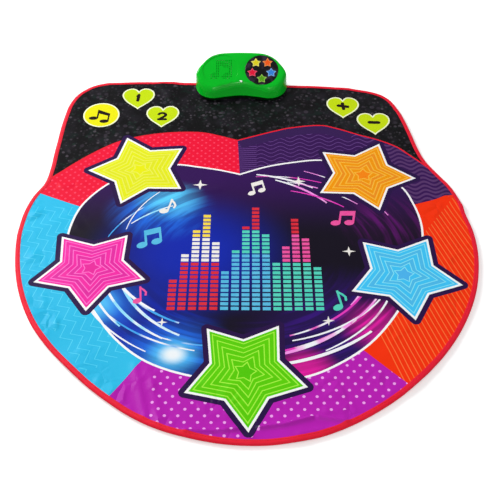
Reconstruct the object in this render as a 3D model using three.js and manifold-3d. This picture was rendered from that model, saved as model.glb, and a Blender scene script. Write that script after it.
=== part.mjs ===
// Electronic dance mat: a sewn floor mat with five sprung star pads and five sprung keys,
// and a wedge-shaped control box clamped over its far edge.
// Millimetres, +Z up, +Y from the dancer towards the control box.
import * as THREE from 'three';
import { mergeVertices } from 'three/addons/utils/BufferGeometryUtils.js';
import Module from 'manifold-3d';

const wasm = await Module();
wasm.setup();

// Mat
const matWidth = 904; // over the binding
const matDepth = 968; // over the binding
const backingThickness = 1.2; // non-slip woven underside
const filmThickness = 0.4; // circuit film
const spacerThickness = 3.2; // foam that keeps the contacts apart
const sheetThickness = 0.8; // printed top sheet
const bindingThickness = 0.8; // folded tape
const bindingWidth = 10; // how far the tape reaches in over the sheets
const bindingRound = 1; // outer corner of the folded tape
const bindingClearance = 0.3; // sheet edges to the tape

// Star pads and keys
const starRadius = 110; // centre to tip
const starNotchRadius = 64; // centre to notch
const nearStarReach = 141.3; // near edge of the mat to the centre of the nearest star
const farStarReach = 316.8; // far edge of the mat to the row of the two furthest stars
const heartWidth = 75;
const heartHeight = 78;
const noteKeyWidth = 82;
const noteKeyHeight = 87;
const leftKeysReach = 65.2; // far edge of the mat to the first key of the left group
const rightKeysReach = 97.2; // far edge of the mat to the first key of the right group
const padClearance = 0.4; // slit round each pad and key
const contactThickness = 0.6; // carbon layer under each pad and key
const contactMargin = 7; // pad edge to the edge of its contact

// Control box outside
const boxWidth = 212;
const boxReach = 71.9; // far edge of the mat to the front of the box
const deckFrontHeight = 30.6; // sloping top, extended to the front of the box, over the floor
const deckTilt = 25; // degrees
const frontDraft = 22; // degrees
const sideDraft = 2; // degrees
const rearDraft = 13; // degrees
const rimRadius = 7; // rounding between walls and sloping top
const shellWall = 2.4;
const splitHeight = 15.2; // joint between base and top shell, over the floor
const lipHeight = 2; // register lip inside the top shell
const lipWall = 1.2;
const lipClearance = 0.3;
const skirtProud = 0.6; // base stands out past the top shell
const skirtLip = 1.2; // upright edge of the base under the joint
const skirtCove = 3.5; // height in which the base draws in below that edge
const skirtUndercut = 3.1; // how far it draws in, over the mat
const skirtFade = 25; // way to the mat's edge in which the undercut runs out

// Control box deck
const speakerSide = 48.5; // speaker axis, left of the centre line
const deckAxisReach = 58; // speaker and window axes, up the slope
const speakerRecessRadius = 40.5;
const speakerRecessDepth = 0.9;
const grilleHole = 2.9; // square hole
const grillePitch = 5.7;
const grilleWidth = 52;
const grilleHeight = 54;
const windowSide = 47.5; // window axis, right of the centre line
const windowRadius = 38.6;
const windowThickness = 1.6;
const windowSeat = 1.5; // floor under the window
const lightHoleRadius = 4;
const lensRingRadius = 23;
const lensRadius = 12.4; // centre to tip
const lensNotchRadius = 6.9;
const lensProud = 0.5;
const pilotRadius = 2.6;
const pilotHeight = 5;
const pilotReach = 28.5; // up the slope
const fitClearance = 0.3; // between parts that seat in each other

// Speaker
const speakerRadius = 28;
const speakerFlange = 1.4;
const speakerDepth = 14; // flange to magnet
const basketThroat = 14; // radius of the basket at the magnet
const basketWall = 1.2;
const magnetRadius = 16;
const magnetHeight = 7;
const coneWall = 0.9;
const capRadius = 9; // dust cap
const collarWall = 1.5; // ring under the deck that holds the speaker
const collarDepth = 5;

// Circuit board
const boardRadius = 29;
const boardThickness = 1.6;
const boardDrop = 11; // deck to board
const postRadius = 2.4; // posts under the deck that carry the board
const ledRadius = 2.5;
const ledHeight = 4.5;
const chipWidth = 14;
const chipHeight = 1.6;
const connectorWidth = 24;
const connectorDepth = 5;
const connectorHeight = 4;
const ribbonWidth = 20;
const ribbonThickness = 0.5;
const ribbonFoot = 9; // length that lies on the circuit film
const ribbonInset = 11.5; // far edge of the mat to the end of the ribbon
const ribbonSlotClearance = 0.8;

// Base, battery bay and clamp
const footHeight = 1.6;
const footRadius = 4.5;
const footSide = 73; // feet, each side of the centre line
const footReach = 89; // front of the box to the feet
const footSeat = 0.8; // how deep the foot sits in the base
const baseFloor = 2.4;
const baseWall = 2;
const bayWall = 1.4;
const bayHeight = 12; // over the floor of the base
const cellRadius = 7.1;
const cellLength = 50.5;
const nubRadius = 2.7;
const nubLength = 1;
const cellClearance = 0.3;
const contactPlate = 0.5;
const contactBossRadius = 3;
const contactBossHeight = 0.6;
const doorLedge = 3; // door edge that laps over the floor opening
const doorThickness = 1.2;
const doorTab = 12; // screw tab past the end of the bay
const rearRoom = 7.4; // bay wall to the back of the box
const clampWidth = 130;
const clampDepth = 26;
const clampFront = 20; // front of the box to the clamp plate
const screwShank = 1.5; // radius
const screwHead = 2.9; // radius
const screwHeadHeight = 0.6;
const bossRadius = 4;
const postRib = 1.8; // rib from each screw post to the wall
const frontScrewSide = 52; // screw axes, each side of the centre line
const rearScrewSide = 80;
const rearScrewReach = 77; // front of the box to the rear screws
const screwBite = 8; // thread above the split
const doorScrewBite = 4; // thread above the floor of the base

// Power switch in the rear wall
const switchHeight = 39.6; // over the floor
const switchTravel = 4;
const knobWidth = 6;
const knobHeight = 3.6;
const knobProud = 1.8;
const knobRib = 0.5;
const knobFoot = 1.6; // flange inside the wall
const switchBodyWidth = 19;
const switchBodyDepth = 7;
const switchBodyHeight = 7;
const switchShelf = 2; // bracket under the switch

// Length by which cuts run past what they cut
const overrun = 3;

// Counts of segments
const matSegments = 70;
const boxSegments = 52;
const rimSteps = 3;
const heartSegments = 18;
const roundSegments = 24;
const deckSegments = 36;
const smallSegments = 8;
const footSegments = 16;
const cellSegments = 12;

// Mat outline, clockwise from the left waist, in shares of half the width and half the depth
const matOutlineShares = [
  [-0.933, 0.272], [-0.922, 0.499], [-0.917, 0.699], [-0.899, 0.841], [-0.85, 0.931], [-0.761, 0.983],
  [-0.638, 0.996], [-0.399, 1], [0, 0.989], [0.398, 0.968], [0.573, 0.944], [0.676, 0.91],
  [0.745, 0.841], [0.783, 0.742], [0.816, 0.58], [0.842, 0.448], [0.898, 0.335], [0.957, 0.223],
  [0.979, 0.108], [1, -0.042], [0.986, -0.203], [0.934, -0.376], [0.828, -0.562], [0.682, -0.725],
  [0.493, -0.867], [0.279, -0.965], [0.039, -1], [-0.158, -0.981], [-0.367, -0.917], [-0.542, -0.809],
  [-0.703, -0.671], [-0.841, -0.517], [-0.935, -0.339], [-0.986, -0.154], [-1, 0.018], [-0.98, 0.165],
];

// Control box outline seen from above, right half, from the waist in front to the back,
// in shares of half the width and of the depth
const boxOutlineShares = [
  [0, 0.1], [0.35, 0.052], [0.63, 0], [0.81, 0.06], [0.93, 0.185],
  [1, 0.4], [0.975, 0.55], [0.885, 0.7], [0.725, 0.865], [0.52, 0.965], [0.25, 0.995], [0, 1],
];
const boxSideShare = -0.0287; // centre line of the box, as a share of half the mat's width

// Star pads: across in shares of the half width that a star's radius leaves, up in shares of the way from
// the nearest star to the far row, the direction of one tip, and how tall it is as a share of a regular star
const starPads = [
  { name: 'yellow', acrossShare: -0.662, upShare: 1.0162, turn: 110, tallShare: 1, colour: 0xe6e628 },
  { name: 'orange', acrossShare: 0.7237, upShare: 0.9838, turn: 66.5, tallShare: 1, colour: 0xf59a22 },
  { name: 'pink', acrossShare: -0.8614, upShare: 0.4636, turn: 128, tallShare: 0.95, colour: 0xec2fa4 },
  { name: 'blue', acrossShare: 0.8746, upShare: 0.434, turn: 130, tallShare: 1, colour: 0x4cb9f0 },
  { name: 'green', acrossShare: 0, upShare: 0, turn: 129, tallShare: 1.08, colour: 0x5fce0a },
];

// Keys on the far panel: a group's first key is placed across in a share of half the mat's width,
// and each key steps from it in shares of the mean width and height of the two
const leftKeys = { acrossShare: -0.56, reach: leftKeysReach };
const rightKeys = { acrossShare: 0.4914, reach: rightKeysReach };
const keys = [
  { name: 'one', group: leftKeys, stepShare: [0, 0], turn: -2, heart: true },
  { name: 'note', group: leftKeys, stepShare: [-0.989, -0.726], turn: 12, heart: false },
  { name: 'two', group: leftKeys, stepShare: [0.82, -0.837], turn: 0, heart: true },
  { name: 'plus', group: rightKeys, stepShare: [0, 0], turn: 2, heart: true },
  { name: 'minus', group: rightKeys, stepShare: [0.847, -0.746], turn: -2, heart: true },
];

// Beamed note of the speaker grille, in shares of the grille's width and height
const noteStemShares = [[0.2, 0.44], [0.77, 1]]; // left and right of each stem
const noteBeamShare = 0.72; // the beam lies above this height
const noteHeadShares = [[0.2, 0.17], [0.72, 0.17]]; // centre of each head
const noteHeadRadiusShares = [0.22, 0.17];

// Heart curve: share of each cosine in its height
const heartTermShares = [13, -5, -2, -1];

// Heights of the layers over the floor
const filmBase = backingThickness;
const spacerBase = filmBase + filmThickness;
const sheetBase = spacerBase + spacerThickness;
const matTop = sheetBase + sheetThickness;
const bindingTop = matTop + bindingThickness;
const halfWidth = matWidth / 2;
const halfDepth = matDepth / 2;

const deckSlope = THREE.MathUtils.degToRad(deckTilt);
const boxCentre = boxSideShare * halfWidth;
const boxFront = halfDepth - boxReach;

// Plane outlines

function turnLeft(loop) {
  return THREE.ShapeUtils.isClockWise(loop) ? loop.slice().reverse() : loop;
}

function smoothLoop(points, count) {
  const knots = points.map(([x, y]) => new THREE.Vector3(x, y, 0));
  const curve = new THREE.CatmullRomCurve3(knots, true, 'centripetal');
  return turnLeft(curve.getSpacedPoints(count).slice(0, count).map((p) => new THREE.Vector2(p.x, p.y)));
}

// Unit normal at each corner, pointing out, stretched so that both edges shift alike
function cornerNormals(loop) {
  return loop.map((point, i) => {
    const before = loop[(i + loop.length - 1) % loop.length];
    const after = loop[(i + 1) % loop.length];
    const a = point.clone().sub(before).normalize();
    const b = after.clone().sub(point).normalize();
    const first = new THREE.Vector2(a.y, -a.x);
    const second = new THREE.Vector2(b.y, -b.x);
    const middle = first.clone().add(second).normalize();
    return middle.divideScalar(middle.dot(first));
  });
}

function growLoop(loop, distance) {
  const normals = cornerNormals(loop);
  return loop.map((point, i) => point.clone().addScaledVector(normals[i], distance));
}

// Smaller copy about the loop's own centre, whose furthest point moves in by the margin
function shrinkLoop(loop, margin) {
  const reach = Math.max(...loop.map((point) => point.length()));
  return loop.map((point) => point.clone().multiplyScalar(1 - margin / reach));
}

function moveLoop(loop, x, y) {
  return loop.map((point) => new THREE.Vector2(point.x + x, point.y + y));
}

function starLoop(radius, notch, turn, tallShare = 1) {
  return Array.from({ length: 10 }, (_, i) => {
    const angle = THREE.MathUtils.degToRad(turn) + (i * Math.PI) / 5;
    const reach = i % 2 ? notch : radius;
    return new THREE.Vector2(Math.cos(angle) * reach, Math.sin(angle) * reach * tallShare);
  });
}

function heartLoop(width, height, turn) {
  const angles = Array.from({ length: heartSegments }, (_, i) => (i * 2 * Math.PI) / heartSegments);
  const riseAt = (angle) => heartTermShares
    .reduce((sum, term, k) => sum + term * Math.cos((k + 1) * angle), 0);
  const rises = angles.map(riseAt);
  const low = Math.min(...rises);
  const high = Math.max(...rises);
  return turnLeft(angles.map((angle, i) => {
    const across = (Math.sin(angle) ** 3 * width) / 2;
    const up = ((rises[i] - (low + high) / 2) / (high - low)) * height;
    return new THREE.Vector2(across, up).rotateAround(new THREE.Vector2(), THREE.MathUtils.degToRad(turn));
  }));
}

function ovalLoop(width, height, turn, count) {
  return Array.from({ length: count }, (_, i) => {
    const angle = (i * 2 * Math.PI) / count;
    return new THREE.Vector2((Math.cos(angle) * width) / 2, (Math.sin(angle) * height) / 2)
      .rotateAround(new THREE.Vector2(), THREE.MathUtils.degToRad(turn));
  });
}

function boxLoop(x0, y0, x1, y1) {
  return [[x0, y0], [x1, y0], [x1, y1], [x0, y1]].map(([x, y]) => new THREE.Vector2(x, y));
}

function circleLoop(radius, x, y, count = smallSegments) {
  return moveLoop(ovalLoop(2 * radius, 2 * radius, 0, count), x, y);
}

// Solids

function prism(loop, holes, bottom, top) {
  const shape = new THREE.Shape(loop);
  shape.holes = holes.map((hole) => new THREE.Path(hole));
  const geometry = new THREE.ExtrudeGeometry(shape, { depth: top - bottom, bevelEnabled: false });
  return geometry.translate(0, 0, bottom);
}

function block(x0, x1, y0, y1, z0, z1) {
  return new THREE.BoxGeometry(x1 - x0, y1 - y0, z1 - z0)
    .translate((x0 + x1) / 2, (y0 + y1) / 2, (z0 + z1) / 2);
}

function rod(radius, bottom, top, x, y, count = smallSegments) {
  return new THREE.CylinderGeometry(radius, radius, top - bottom, count)
    .rotateX(Math.PI / 2).translate(x, y, (bottom + top) / 2);
}

// A revolved profile of [radius, height] pairs about the Z axis
function turned(profile, count = roundSegments) {
  const points = profile.map(([radius, height]) => new THREE.Vector2(radius, height));
  return new THREE.LatheGeometry(points, count).rotateX(Math.PI / 2);
}

// Joins loops of equal length into one skin; ring skins close on themselves, others get caps
function skin(rings, isRing) {
  const count = rings[0].length;
  const faces = [];
  const last = isRing ? rings.length : rings.length - 1;
  for (let k = 0; k < last; k += 1) {
    for (let i = 0; i < count; i += 1) {
      const next = (i + 1) % count;
      const above = ((k + 1) % rings.length) * count;
      faces.push(k * count + i, k * count + next, above + next, k * count + i, above + next, above + i);
    }
  }
  if (!isRing) {
    const flat = (ring) => ring.map((p) => new THREE.Vector2(p.x, p.y));
    const start = (rings.length - 1) * count;
    THREE.ShapeUtils.triangulateShape(flat(rings[0]), []).forEach(([a, b, c]) => faces.push(a, c, b));
    THREE.ShapeUtils.triangulateShape(flat(rings[rings.length - 1]), [])
      .forEach(([a, b, c]) => faces.push(start + a, start + b, start + c));
  }
  const geometry = new THREE.BufferGeometry();
  const places = rings.flat().flatMap((p) => [p.x, p.y, p.z]);
  geometry.setAttribute('position', new THREE.Float32BufferAttribute(places, 3));
  geometry.setIndex(faces);
  return geometry;
}

function atHeight(loop, height) {
  return loop.map((p) => new THREE.Vector3(p.x, p.y, height));
}

function toSolid(geometry) {
  const bare = geometry.clone();
  bare.deleteAttribute('normal');
  bare.deleteAttribute('uv');
  const merged = mergeVertices(bare);
  return new wasm.Manifold(new wasm.Mesh({
    numProp: 3,
    vertProperties: new Float32Array(merged.attributes.position.array),
    triVerts: new Uint32Array(merged.index.array),
  }));
}

function toGeometry(solid) {
  const mesh = solid.getMesh();
  const geometry = new THREE.BufferGeometry();
  geometry.setAttribute('position', new THREE.BufferAttribute(new Float32Array(mesh.vertProperties), 3));
  geometry.setIndex(new THREE.BufferAttribute(new Uint32Array(mesh.triVerts), 1));
  return geometry;
}

function carve(body, added, removed) {
  const joined = added.reduce((sum, geometry) => sum.add(toSolid(geometry)), toSolid(body));
  return toGeometry(removed.reduce((rest, geometry) => rest.subtract(toSolid(geometry)), joined));
}

// Scene graph

const model = new THREE.Group();
const box = new THREE.Group();
const deck = new THREE.Group();
box.position.set(boxCentre, boxFront, 0);
deck.position.set(0, 0, deckFrontHeight);
deck.rotation.x = deckSlope;
box.add(deck);
model.add(box);

const finishes = {
  backing: { color: 0x2a2a2e, roughness: 0.85, metalness: 0 },
  film: { color: 0xcfd3cf, roughness: 0.4, metalness: 0 },
  foam: { color: 0xf0efe9, roughness: 0.95, metalness: 0 },
  print: { color: 0x3a1a66, roughness: 0.45, metalness: 0 },
  binding: { color: 0xe4213f, roughness: 0.6, metalness: 0 },
  carbon: { color: 0x1a1a1c, roughness: 0.7, metalness: 0 },
  lime: { color: 0xbfe02a, roughness: 0.45, metalness: 0 },
  shell: { color: 0x05b52c, roughness: 0.22, metalness: 0 },
  base: { color: 0x06c030, roughness: 0.3, metalness: 0 },
  window: { color: 0x121014, roughness: 0.12, metalness: 0 },
  pilot: { color: 0xf4fff4, roughness: 0.1, metalness: 0 },
  board: { color: 0x1c6b3a, roughness: 0.5, metalness: 0 },
  steel: { color: 0xb9bcc0, roughness: 0.35, metalness: 1 },
  cone: { color: 0x1d1d1f, roughness: 0.8, metalness: 0 },
  magnet: { color: 0x3b3b3e, roughness: 0.5, metalness: 0.4 },
  cell: { color: 0xd8a23a, roughness: 0.35, metalness: 0.3 },
  rubber: { color: 0x222224, roughness: 0.9, metalness: 0 },
  knob: { color: 0x1b1b1d, roughness: 0.5, metalness: 0 },
};

function place(parent, name, geometry, finish) {
  const bare = geometry.index ? geometry : mergeVertices(geometry);
  const mesh = new THREE.Mesh(bare, new THREE.MeshStandardMaterial({ ...finish }));
  mesh.name = name;
  parent.add(mesh);
  return mesh;
}

function sealed(geometry) {
  return toGeometry(toSolid(geometry));
}

// Mat layers

const matLoop = smoothLoop(matOutlineShares.map(([x, y]) => [x * halfWidth, y * halfDepth]), matSegments);
const sheetLoop = growLoop(matLoop, -(bindingThickness + bindingClearance));
const backingLoop = growLoop(matLoop, -(bindingWidth + bindingClearance));

const nearStarRow = nearStarReach - halfDepth;
const farStarRow = halfDepth - farStarReach;
const padLoops = starPads.map(({ name, acrossShare, upShare, turn, tallShare, colour }) => ({
  name,
  x: acrossShare * (halfWidth - starRadius),
  y: nearStarRow + upShare * (farStarRow - nearStarRow),
  loop: starLoop(starRadius, starNotchRadius, turn, tallShare),
  finish: { ...finishes.lime, color: colour },
}));

const keyLoops = keys.map(({ name, group, stepShare, turn, heart }) => {
  const width = heart ? heartWidth : noteKeyWidth;
  const height = heart ? heartHeight : noteKeyHeight;
  return {
    name,
    x: group.acrossShare * halfWidth + (stepShare[0] * (width + heartWidth)) / 2,
    y: halfDepth - group.reach + (stepShare[1] * (height + heartHeight)) / 2,
    loop: heart ? heartLoop(width, height, turn) : ovalLoop(width, height, turn, heartSegments),
    finish: finishes.lime,
  };
});

const pressed = [...padLoops, ...keyLoops];
const pressedHoles = pressed.map(({ x, y, loop }) => moveLoop(growLoop(loop, padClearance), x, y));

// The mat's far edge as the control box sees it, and a box deep enough for two rows of cells behind it
const halfBox = boxWidth / 2;
const matInBox = moveLoop(matLoop, -boxCentre, -boxFront);
const matEdgeReach = Math.max(...matInBox.filter((p) => Math.abs(p.x) < halfBox).map((p) => p.y));
const bayFront = matEdgeReach + fitClearance + baseWall;
const bayDepth = 2 * (2 * cellRadius + cellClearance) + cellClearance;
const bayRear = bayFront + bayDepth;
const boxDepth = bayRear + bayWall + rearRoom;

// Places in the mat that the control box needs, in the mat's frame
const ribbonReach = matEdgeReach - ribbonInset - ribbonFoot;
const connectorDrop = boardDrop + boardThickness + connectorHeight; // deck to its underside
const connectorReach = (ribbonReach - connectorDrop * Math.sin(deckSlope)) / Math.cos(deckSlope);
const ribbonTop = deckFrontHeight + (connectorReach - connectorDepth / 2) * Math.sin(deckSlope)
  - connectorDrop * Math.cos(deckSlope) - fitClearance;
const ribbonX = boxCentre + windowSide;
const ribbonY = boxFront + ribbonReach;
const ribbonSlot = boxLoop(
  ribbonX - ribbonWidth / 2 - ribbonSlotClearance,
  ribbonY - ribbonThickness / 2 - ribbonSlotClearance,
  ribbonX + ribbonWidth / 2 + ribbonSlotClearance,
  ribbonY + ribbonThickness / 2 + ribbonFoot + ribbonSlotClearance,
);
const frontScrewReach = clampFront + clampDepth / 2;
const clampHoles = [-1, 1].map((side) => circleLoop(
  screwShank + fitClearance,
  boxCentre + side * frontScrewSide,
  boxFront + frontScrewReach,
));
const clampPocket = boxLoop(
  boxCentre - clampWidth / 2 - fitClearance,
  boxFront + clampFront - fitClearance,
  boxCentre + clampWidth / 2 + fitClearance,
  boxFront + clampFront + clampDepth + fitClearance,
);

place(
  model,
  'backing_sheet',
  sealed(prism(backingLoop, [clampPocket], 0, backingThickness)),
  finishes.backing,
);
place(model, 'circuit_film', sealed(prism(sheetLoop, clampHoles, filmBase, spacerBase)), finishes.film);
place(
  model,
  'foam_spacer',
  sealed(prism(sheetLoop, [...pressedHoles, ribbonSlot, ...clampHoles], spacerBase, sheetBase)),
  finishes.foam,
);
place(
  model,
  'printed_sheet',
  sealed(prism(sheetLoop, [...pressedHoles, ribbonSlot, ...clampHoles], sheetBase, matTop)),
  finishes.print,
);

// Folded tape round the whole edge, open on its inner side where the sheets go in
const tapeSection = [
  [bindingWidth, 0], [bindingRound, 0], [0, bindingRound], [0, bindingTop - bindingRound],
  [bindingRound, bindingTop], [bindingWidth, bindingTop], [bindingWidth, matTop], [bindingThickness, matTop],
  [bindingThickness, bindingThickness], [bindingWidth, bindingThickness],
];
const tapeRings = tapeSection.map(([inset, height]) => atHeight(growLoop(matLoop, -inset), height));
place(model, 'edge_binding', sealed(skin(tapeRings, true)), finishes.binding);

// Sprung patches with the carbon contact that each carries
pressed.forEach(({ name, x, y, loop, finish }, i) => {
  const kind = i < padLoops.length ? 'star' : 'key';
  const contact = shrinkLoop(loop, contactMargin);
  place(model, `${kind}_pad_${name}`, sealed(prism(moveLoop(loop, x, y), [], sheetBase, matTop)), finish);
  place(
    model,
    `${kind}_contact_${name}`,
    sealed(prism(moveLoop(contact, x, y), [], sheetBase - contactThickness, sheetBase)),
    finishes.carbon,
  );
});

// Plate under the mat that the front screws pull up against the box
place(box, 'clamp_plate', carve(
  block(-clampWidth / 2, clampWidth / 2, clampFront, clampFront + clampDepth, 0, backingThickness),
  [],
  [-frontScrewSide, frontScrewSide].flatMap((x) => [
    rod(screwShank + fitClearance, -overrun, backingThickness + overrun, x, frontScrewReach),
    rod(screwHead + fitClearance, -overrun, screwHeadHeight, x, frontScrewReach),
  ]),
), finishes.steel);

// Control box form

const rightShares = boxOutlineShares.map(([x, y]) => [x * halfBox, y * boxDepth]);
const leftShares = rightShares.slice(1, -1).reverse().map(([x, y]) => [-x, y]);
const boxOutline = smoothLoop([...rightShares, ...leftShares], boxSegments);

function deckHeightAt(y) {
  return deckFrontHeight + y * Math.tan(deckSlope);
}

// Slope of the wall where it faces along the given outward direction
function wallLean(outward) {
  const toward = outward.y < 0 ? frontDraft : rearDraft;
  const degrees = sideDraft + (toward - sideDraft) * Math.abs(outward.y);
  return Math.tan(THREE.MathUtils.degToRad(degrees));
}

// The box as a closed form: leaning walls, a rounded rim and the flat sloping deck.
// The inner form is the same, moved in by the wall.
function boxForm(inset, startHeight) {
  const drop = inset / Math.cos(deckSlope);
  const round = rimRadius - inset;
  const normals = cornerNormals(boxOutline).map((normal) => normal.clone().normalize());
  const rings = Array.from({ length: rimSteps + 2 }, () => []);
  boxOutline.forEach((point, i) => {
    const normal = normals[i];
    const lean = wallLean(normal);
    const foot = point.clone().addScaledVector(normal, -inset);
    const rise = (deckHeightAt(foot.y) - drop - splitHeight) / (1 + normal.y * lean * Math.tan(deckSlope));
    const along = (height, extra) => foot.clone().addScaledVector(normal, -(lean * height + extra));
    const straight = rise - round;
    const start = along(startHeight - splitHeight, 0);
    rings[0].push(new THREE.Vector3(start.x, start.y, startHeight));
    for (let step = 0; step <= rimSteps; step += 1) {
      const angle = (step / rimSteps) * (Math.PI / 2);
      const extra = round * (1 - Math.cos(angle));
      const height = straight + round * Math.sin(angle);
      const spot = along(height, extra);
      const rimLevel = deckHeightAt(spot.y) - drop - round * (1 - Math.sin(angle));
      rings[step + 1].push(new THREE.Vector3(spot.x, spot.y, step === 0 ? splitHeight + straight : rimLevel));
    }
  });
  return skin(rings, false);
}

const deckToBox = new THREE.Matrix4().makeRotationX(deckSlope).setPosition(0, 0, deckFrontHeight);

function onDeck(geometry) {
  return geometry.clone().applyMatrix4(deckToBox);
}

function discAt(radius, bottom, top, x, y, count = roundSegments) {
  return onDeck(rod(radius, bottom, top, x, y, count));
}

// Lights in a ring, one straight down towards the dancer, then clockwise
const lensOrder = ['green', 'pink', 'yellow', 'orange', 'blue'];
const lensPitch = (2 * Math.PI) / lensOrder.length;
const lensSpots = lensOrder.map((name, i) => {
  const angle = -Math.PI / 2 - i * lensPitch;
  return [windowSide + lensRingRadius * Math.cos(angle), deckAxisReach + lensRingRadius * Math.sin(angle)];
});

// Square holes of the grille, kept where they fall inside a beamed note
function grilleSpots() {
  const columns = Math.floor(grilleWidth / grillePitch);
  const rows = Math.floor(grilleHeight / grillePitch);
  const spots = [];
  for (let row = 0; row <= rows; row += 1) {
    for (let column = 0; column <= columns; column += 1) {
      const across = column / columns;
      const up = row / rows;
      const onStem = up > noteHeadShares[0][1]
        && noteStemShares.some(([low, high]) => across >= low && across <= high);
      const onBeam = up >= noteBeamShare && across >= noteStemShares[0][0];
      const onHead = noteHeadShares.some(([x, y]) => Math.hypot(
        (across - x) / noteHeadRadiusShares[0],
        (up - y) / noteHeadRadiusShares[1],
      ) <= 1);
      if (onStem || onBeam || onHead) {
        spots.push([(column - columns / 2) * grillePitch, (row - rows / 2) * grillePitch]);
      }
    }
  }
  return spots;
}

const screwSpots = [
  ['front_left', -frontScrewSide, frontScrewReach],
  ['front_right', frontScrewSide, frontScrewReach],
  ['rear_left', -rearScrewSide, rearScrewReach],
  ['rear_right', rearScrewSide, rearScrewReach],
];
// Posts that carry the board stand in three of the five gaps between the lights
const boardPostGaps = [0, 2, 3];
const boardPostSpots = boardPostGaps.map((step) => {
  const angle = Math.PI / 2 + step * lensPitch;
  const reach = boardRadius - postRadius;
  return [windowSide + reach * Math.cos(angle), deckAxisReach + reach * Math.sin(angle)];
});

// Rear wall at the height of the power switch
const rearLean = THREE.MathUtils.degToRad(rearDraft);
const rearWallReach = boxDepth - (switchHeight - splitHeight) * Math.tan(rearLean);
const innerWallReach = rearWallReach - shellWall / Math.cos(rearLean) - fitClearance;
const knobLeft = -(knobWidth + switchTravel) / 2;
const switchSlot = block(
  knobLeft - fitClearance,
  -knobLeft + fitClearance,
  innerWallReach - overrun,
  rearWallReach + overrun,
  switchHeight - knobHeight / 2 - fitClearance,
  switchHeight + knobHeight / 2 + fitClearance,
);

// Stiffening rib from a screw post to the wall beside it
function postRibBlock(x, y, bottom, top) {
  const half = postRib / 2;
  if (y === frontScrewReach) {
    return block(x - half, x + half, 0, y, bottom, top);
  }
  const wall = Math.sign(x) * halfBox;
  return block(Math.min(x, wall), Math.max(x, wall), y - half, y + half, bottom, top);
}

function topShell() {
  const underDeck = -shellWall;
  const seatFloor = -(windowThickness + fitClearance + windowSeat);
  const inDeck = underDeck / 2;
  const postBottom = splitHeight + fitClearance;
  const postTop = splitHeight + screwBite + shellWall;
  const ribBottom = splitHeight + lipHeight + fitClearance;
  const shelfTop = switchHeight - switchBodyHeight / 2 - fitClearance;
  const collarBottom = underDeck - collarDepth;
  const collarRadius = speakerRadius + fitClearance;
  const added = [
    ...screwSpots.map(([, x, y]) => rod(bossRadius, postBottom, postTop, x, y)),
    ...screwSpots.map(([, x, y]) => postRibBlock(x, y, ribBottom, postTop)),
    ...boardPostSpots.map(([x, y]) => (
      discAt(postRadius, -boardDrop + fitClearance, inDeck, x, y, smallSegments)
    )),
    discAt(windowRadius + fitClearance + shellWall, seatFloor, inDeck, windowSide, deckAxisReach),
    carve(
      discAt(collarRadius + collarWall, collarBottom, inDeck, -speakerSide, deckAxisReach),
      [],
      [discAt(collarRadius, collarBottom - overrun, underDeck, -speakerSide, deckAxisReach)],
    ),
    block(
      -switchBodyWidth / 2,
      switchBodyWidth / 2,
      innerWallReach - switchBodyDepth - knobFoot,
      rearWallReach,
      shelfTop - switchShelf,
      shelfTop,
    ),
  ];
  const cuts = [
    discAt(speakerRecessRadius, -speakerRecessDepth, overrun, -speakerSide, deckAxisReach, deckSegments),
    discAt(
      windowRadius + fitClearance,
      -(windowThickness + fitClearance),
      overrun,
      windowSide,
      deckAxisReach,
      deckSegments,
    ),
    ...lensSpots.map(([x, y]) => discAt(lightHoleRadius, seatFloor - overrun, overrun, x, y, smallSegments)),
    discAt(pilotRadius + fitClearance, -(shellWall + overrun), overrun, 0, pilotReach, smallSegments),
    switchSlot,
    ...screwSpots.map(([, x, y]) => rod(
      screwShank + fitClearance,
      splitHeight - overrun,
      splitHeight + screwBite + fitClearance,
      x,
      y,
    )),
    ...grilleSpots().map(([x, y]) => onDeck(block(
      x - speakerSide - grilleHole / 2,
      x - speakerSide + grilleHole / 2,
      y + deckAxisReach - grilleHole / 2,
      y + deckAxisReach + grilleHole / 2,
      -(shellWall + overrun / 2),
      0,
    ))),
  ];
  const insideWall = toSolid(boxForm(fitClearance, splitHeight));
  const inside = toSolid(boxForm(shellWall, splitHeight - overrun));
  const hollow = toSolid(boxForm(0, splitHeight)).subtract(inside);
  const fitted = added.reduce((sum, part) => sum.add(toSolid(part).intersect(insideWall)), hollow);
  return toGeometry(cuts.reduce((rest, cut) => rest.subtract(toSolid(cut)), fitted));
}

place(box, 'top_shell', topShell(), finishes.shell);

// Base: a tray over the mat's edge in front, a tub that reaches the floor behind

const skirtLoop = growLoop(boxOutline, skirtProud);
const baseBottom = footHeight - footSeat;
const baseFloorTop = baseBottom + baseFloor;
const trayBottom = bindingTop + fitClearance;
const trayTop = trayBottom + baseFloor;
const contactDepth = contactPlate + contactBossHeight + 2 * fitClearance;
const bayHalf = cellLength + cellClearance + contactDepth;
const bayTop = baseFloorTop + bayHeight;
const bayMiddle = (bayFront + bayRear) / 2;
const doorScrewSide = bayHalf + bayWall + doorTab / 2;
const doorScrewTop = baseFloorTop + doorScrewBite;

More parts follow.
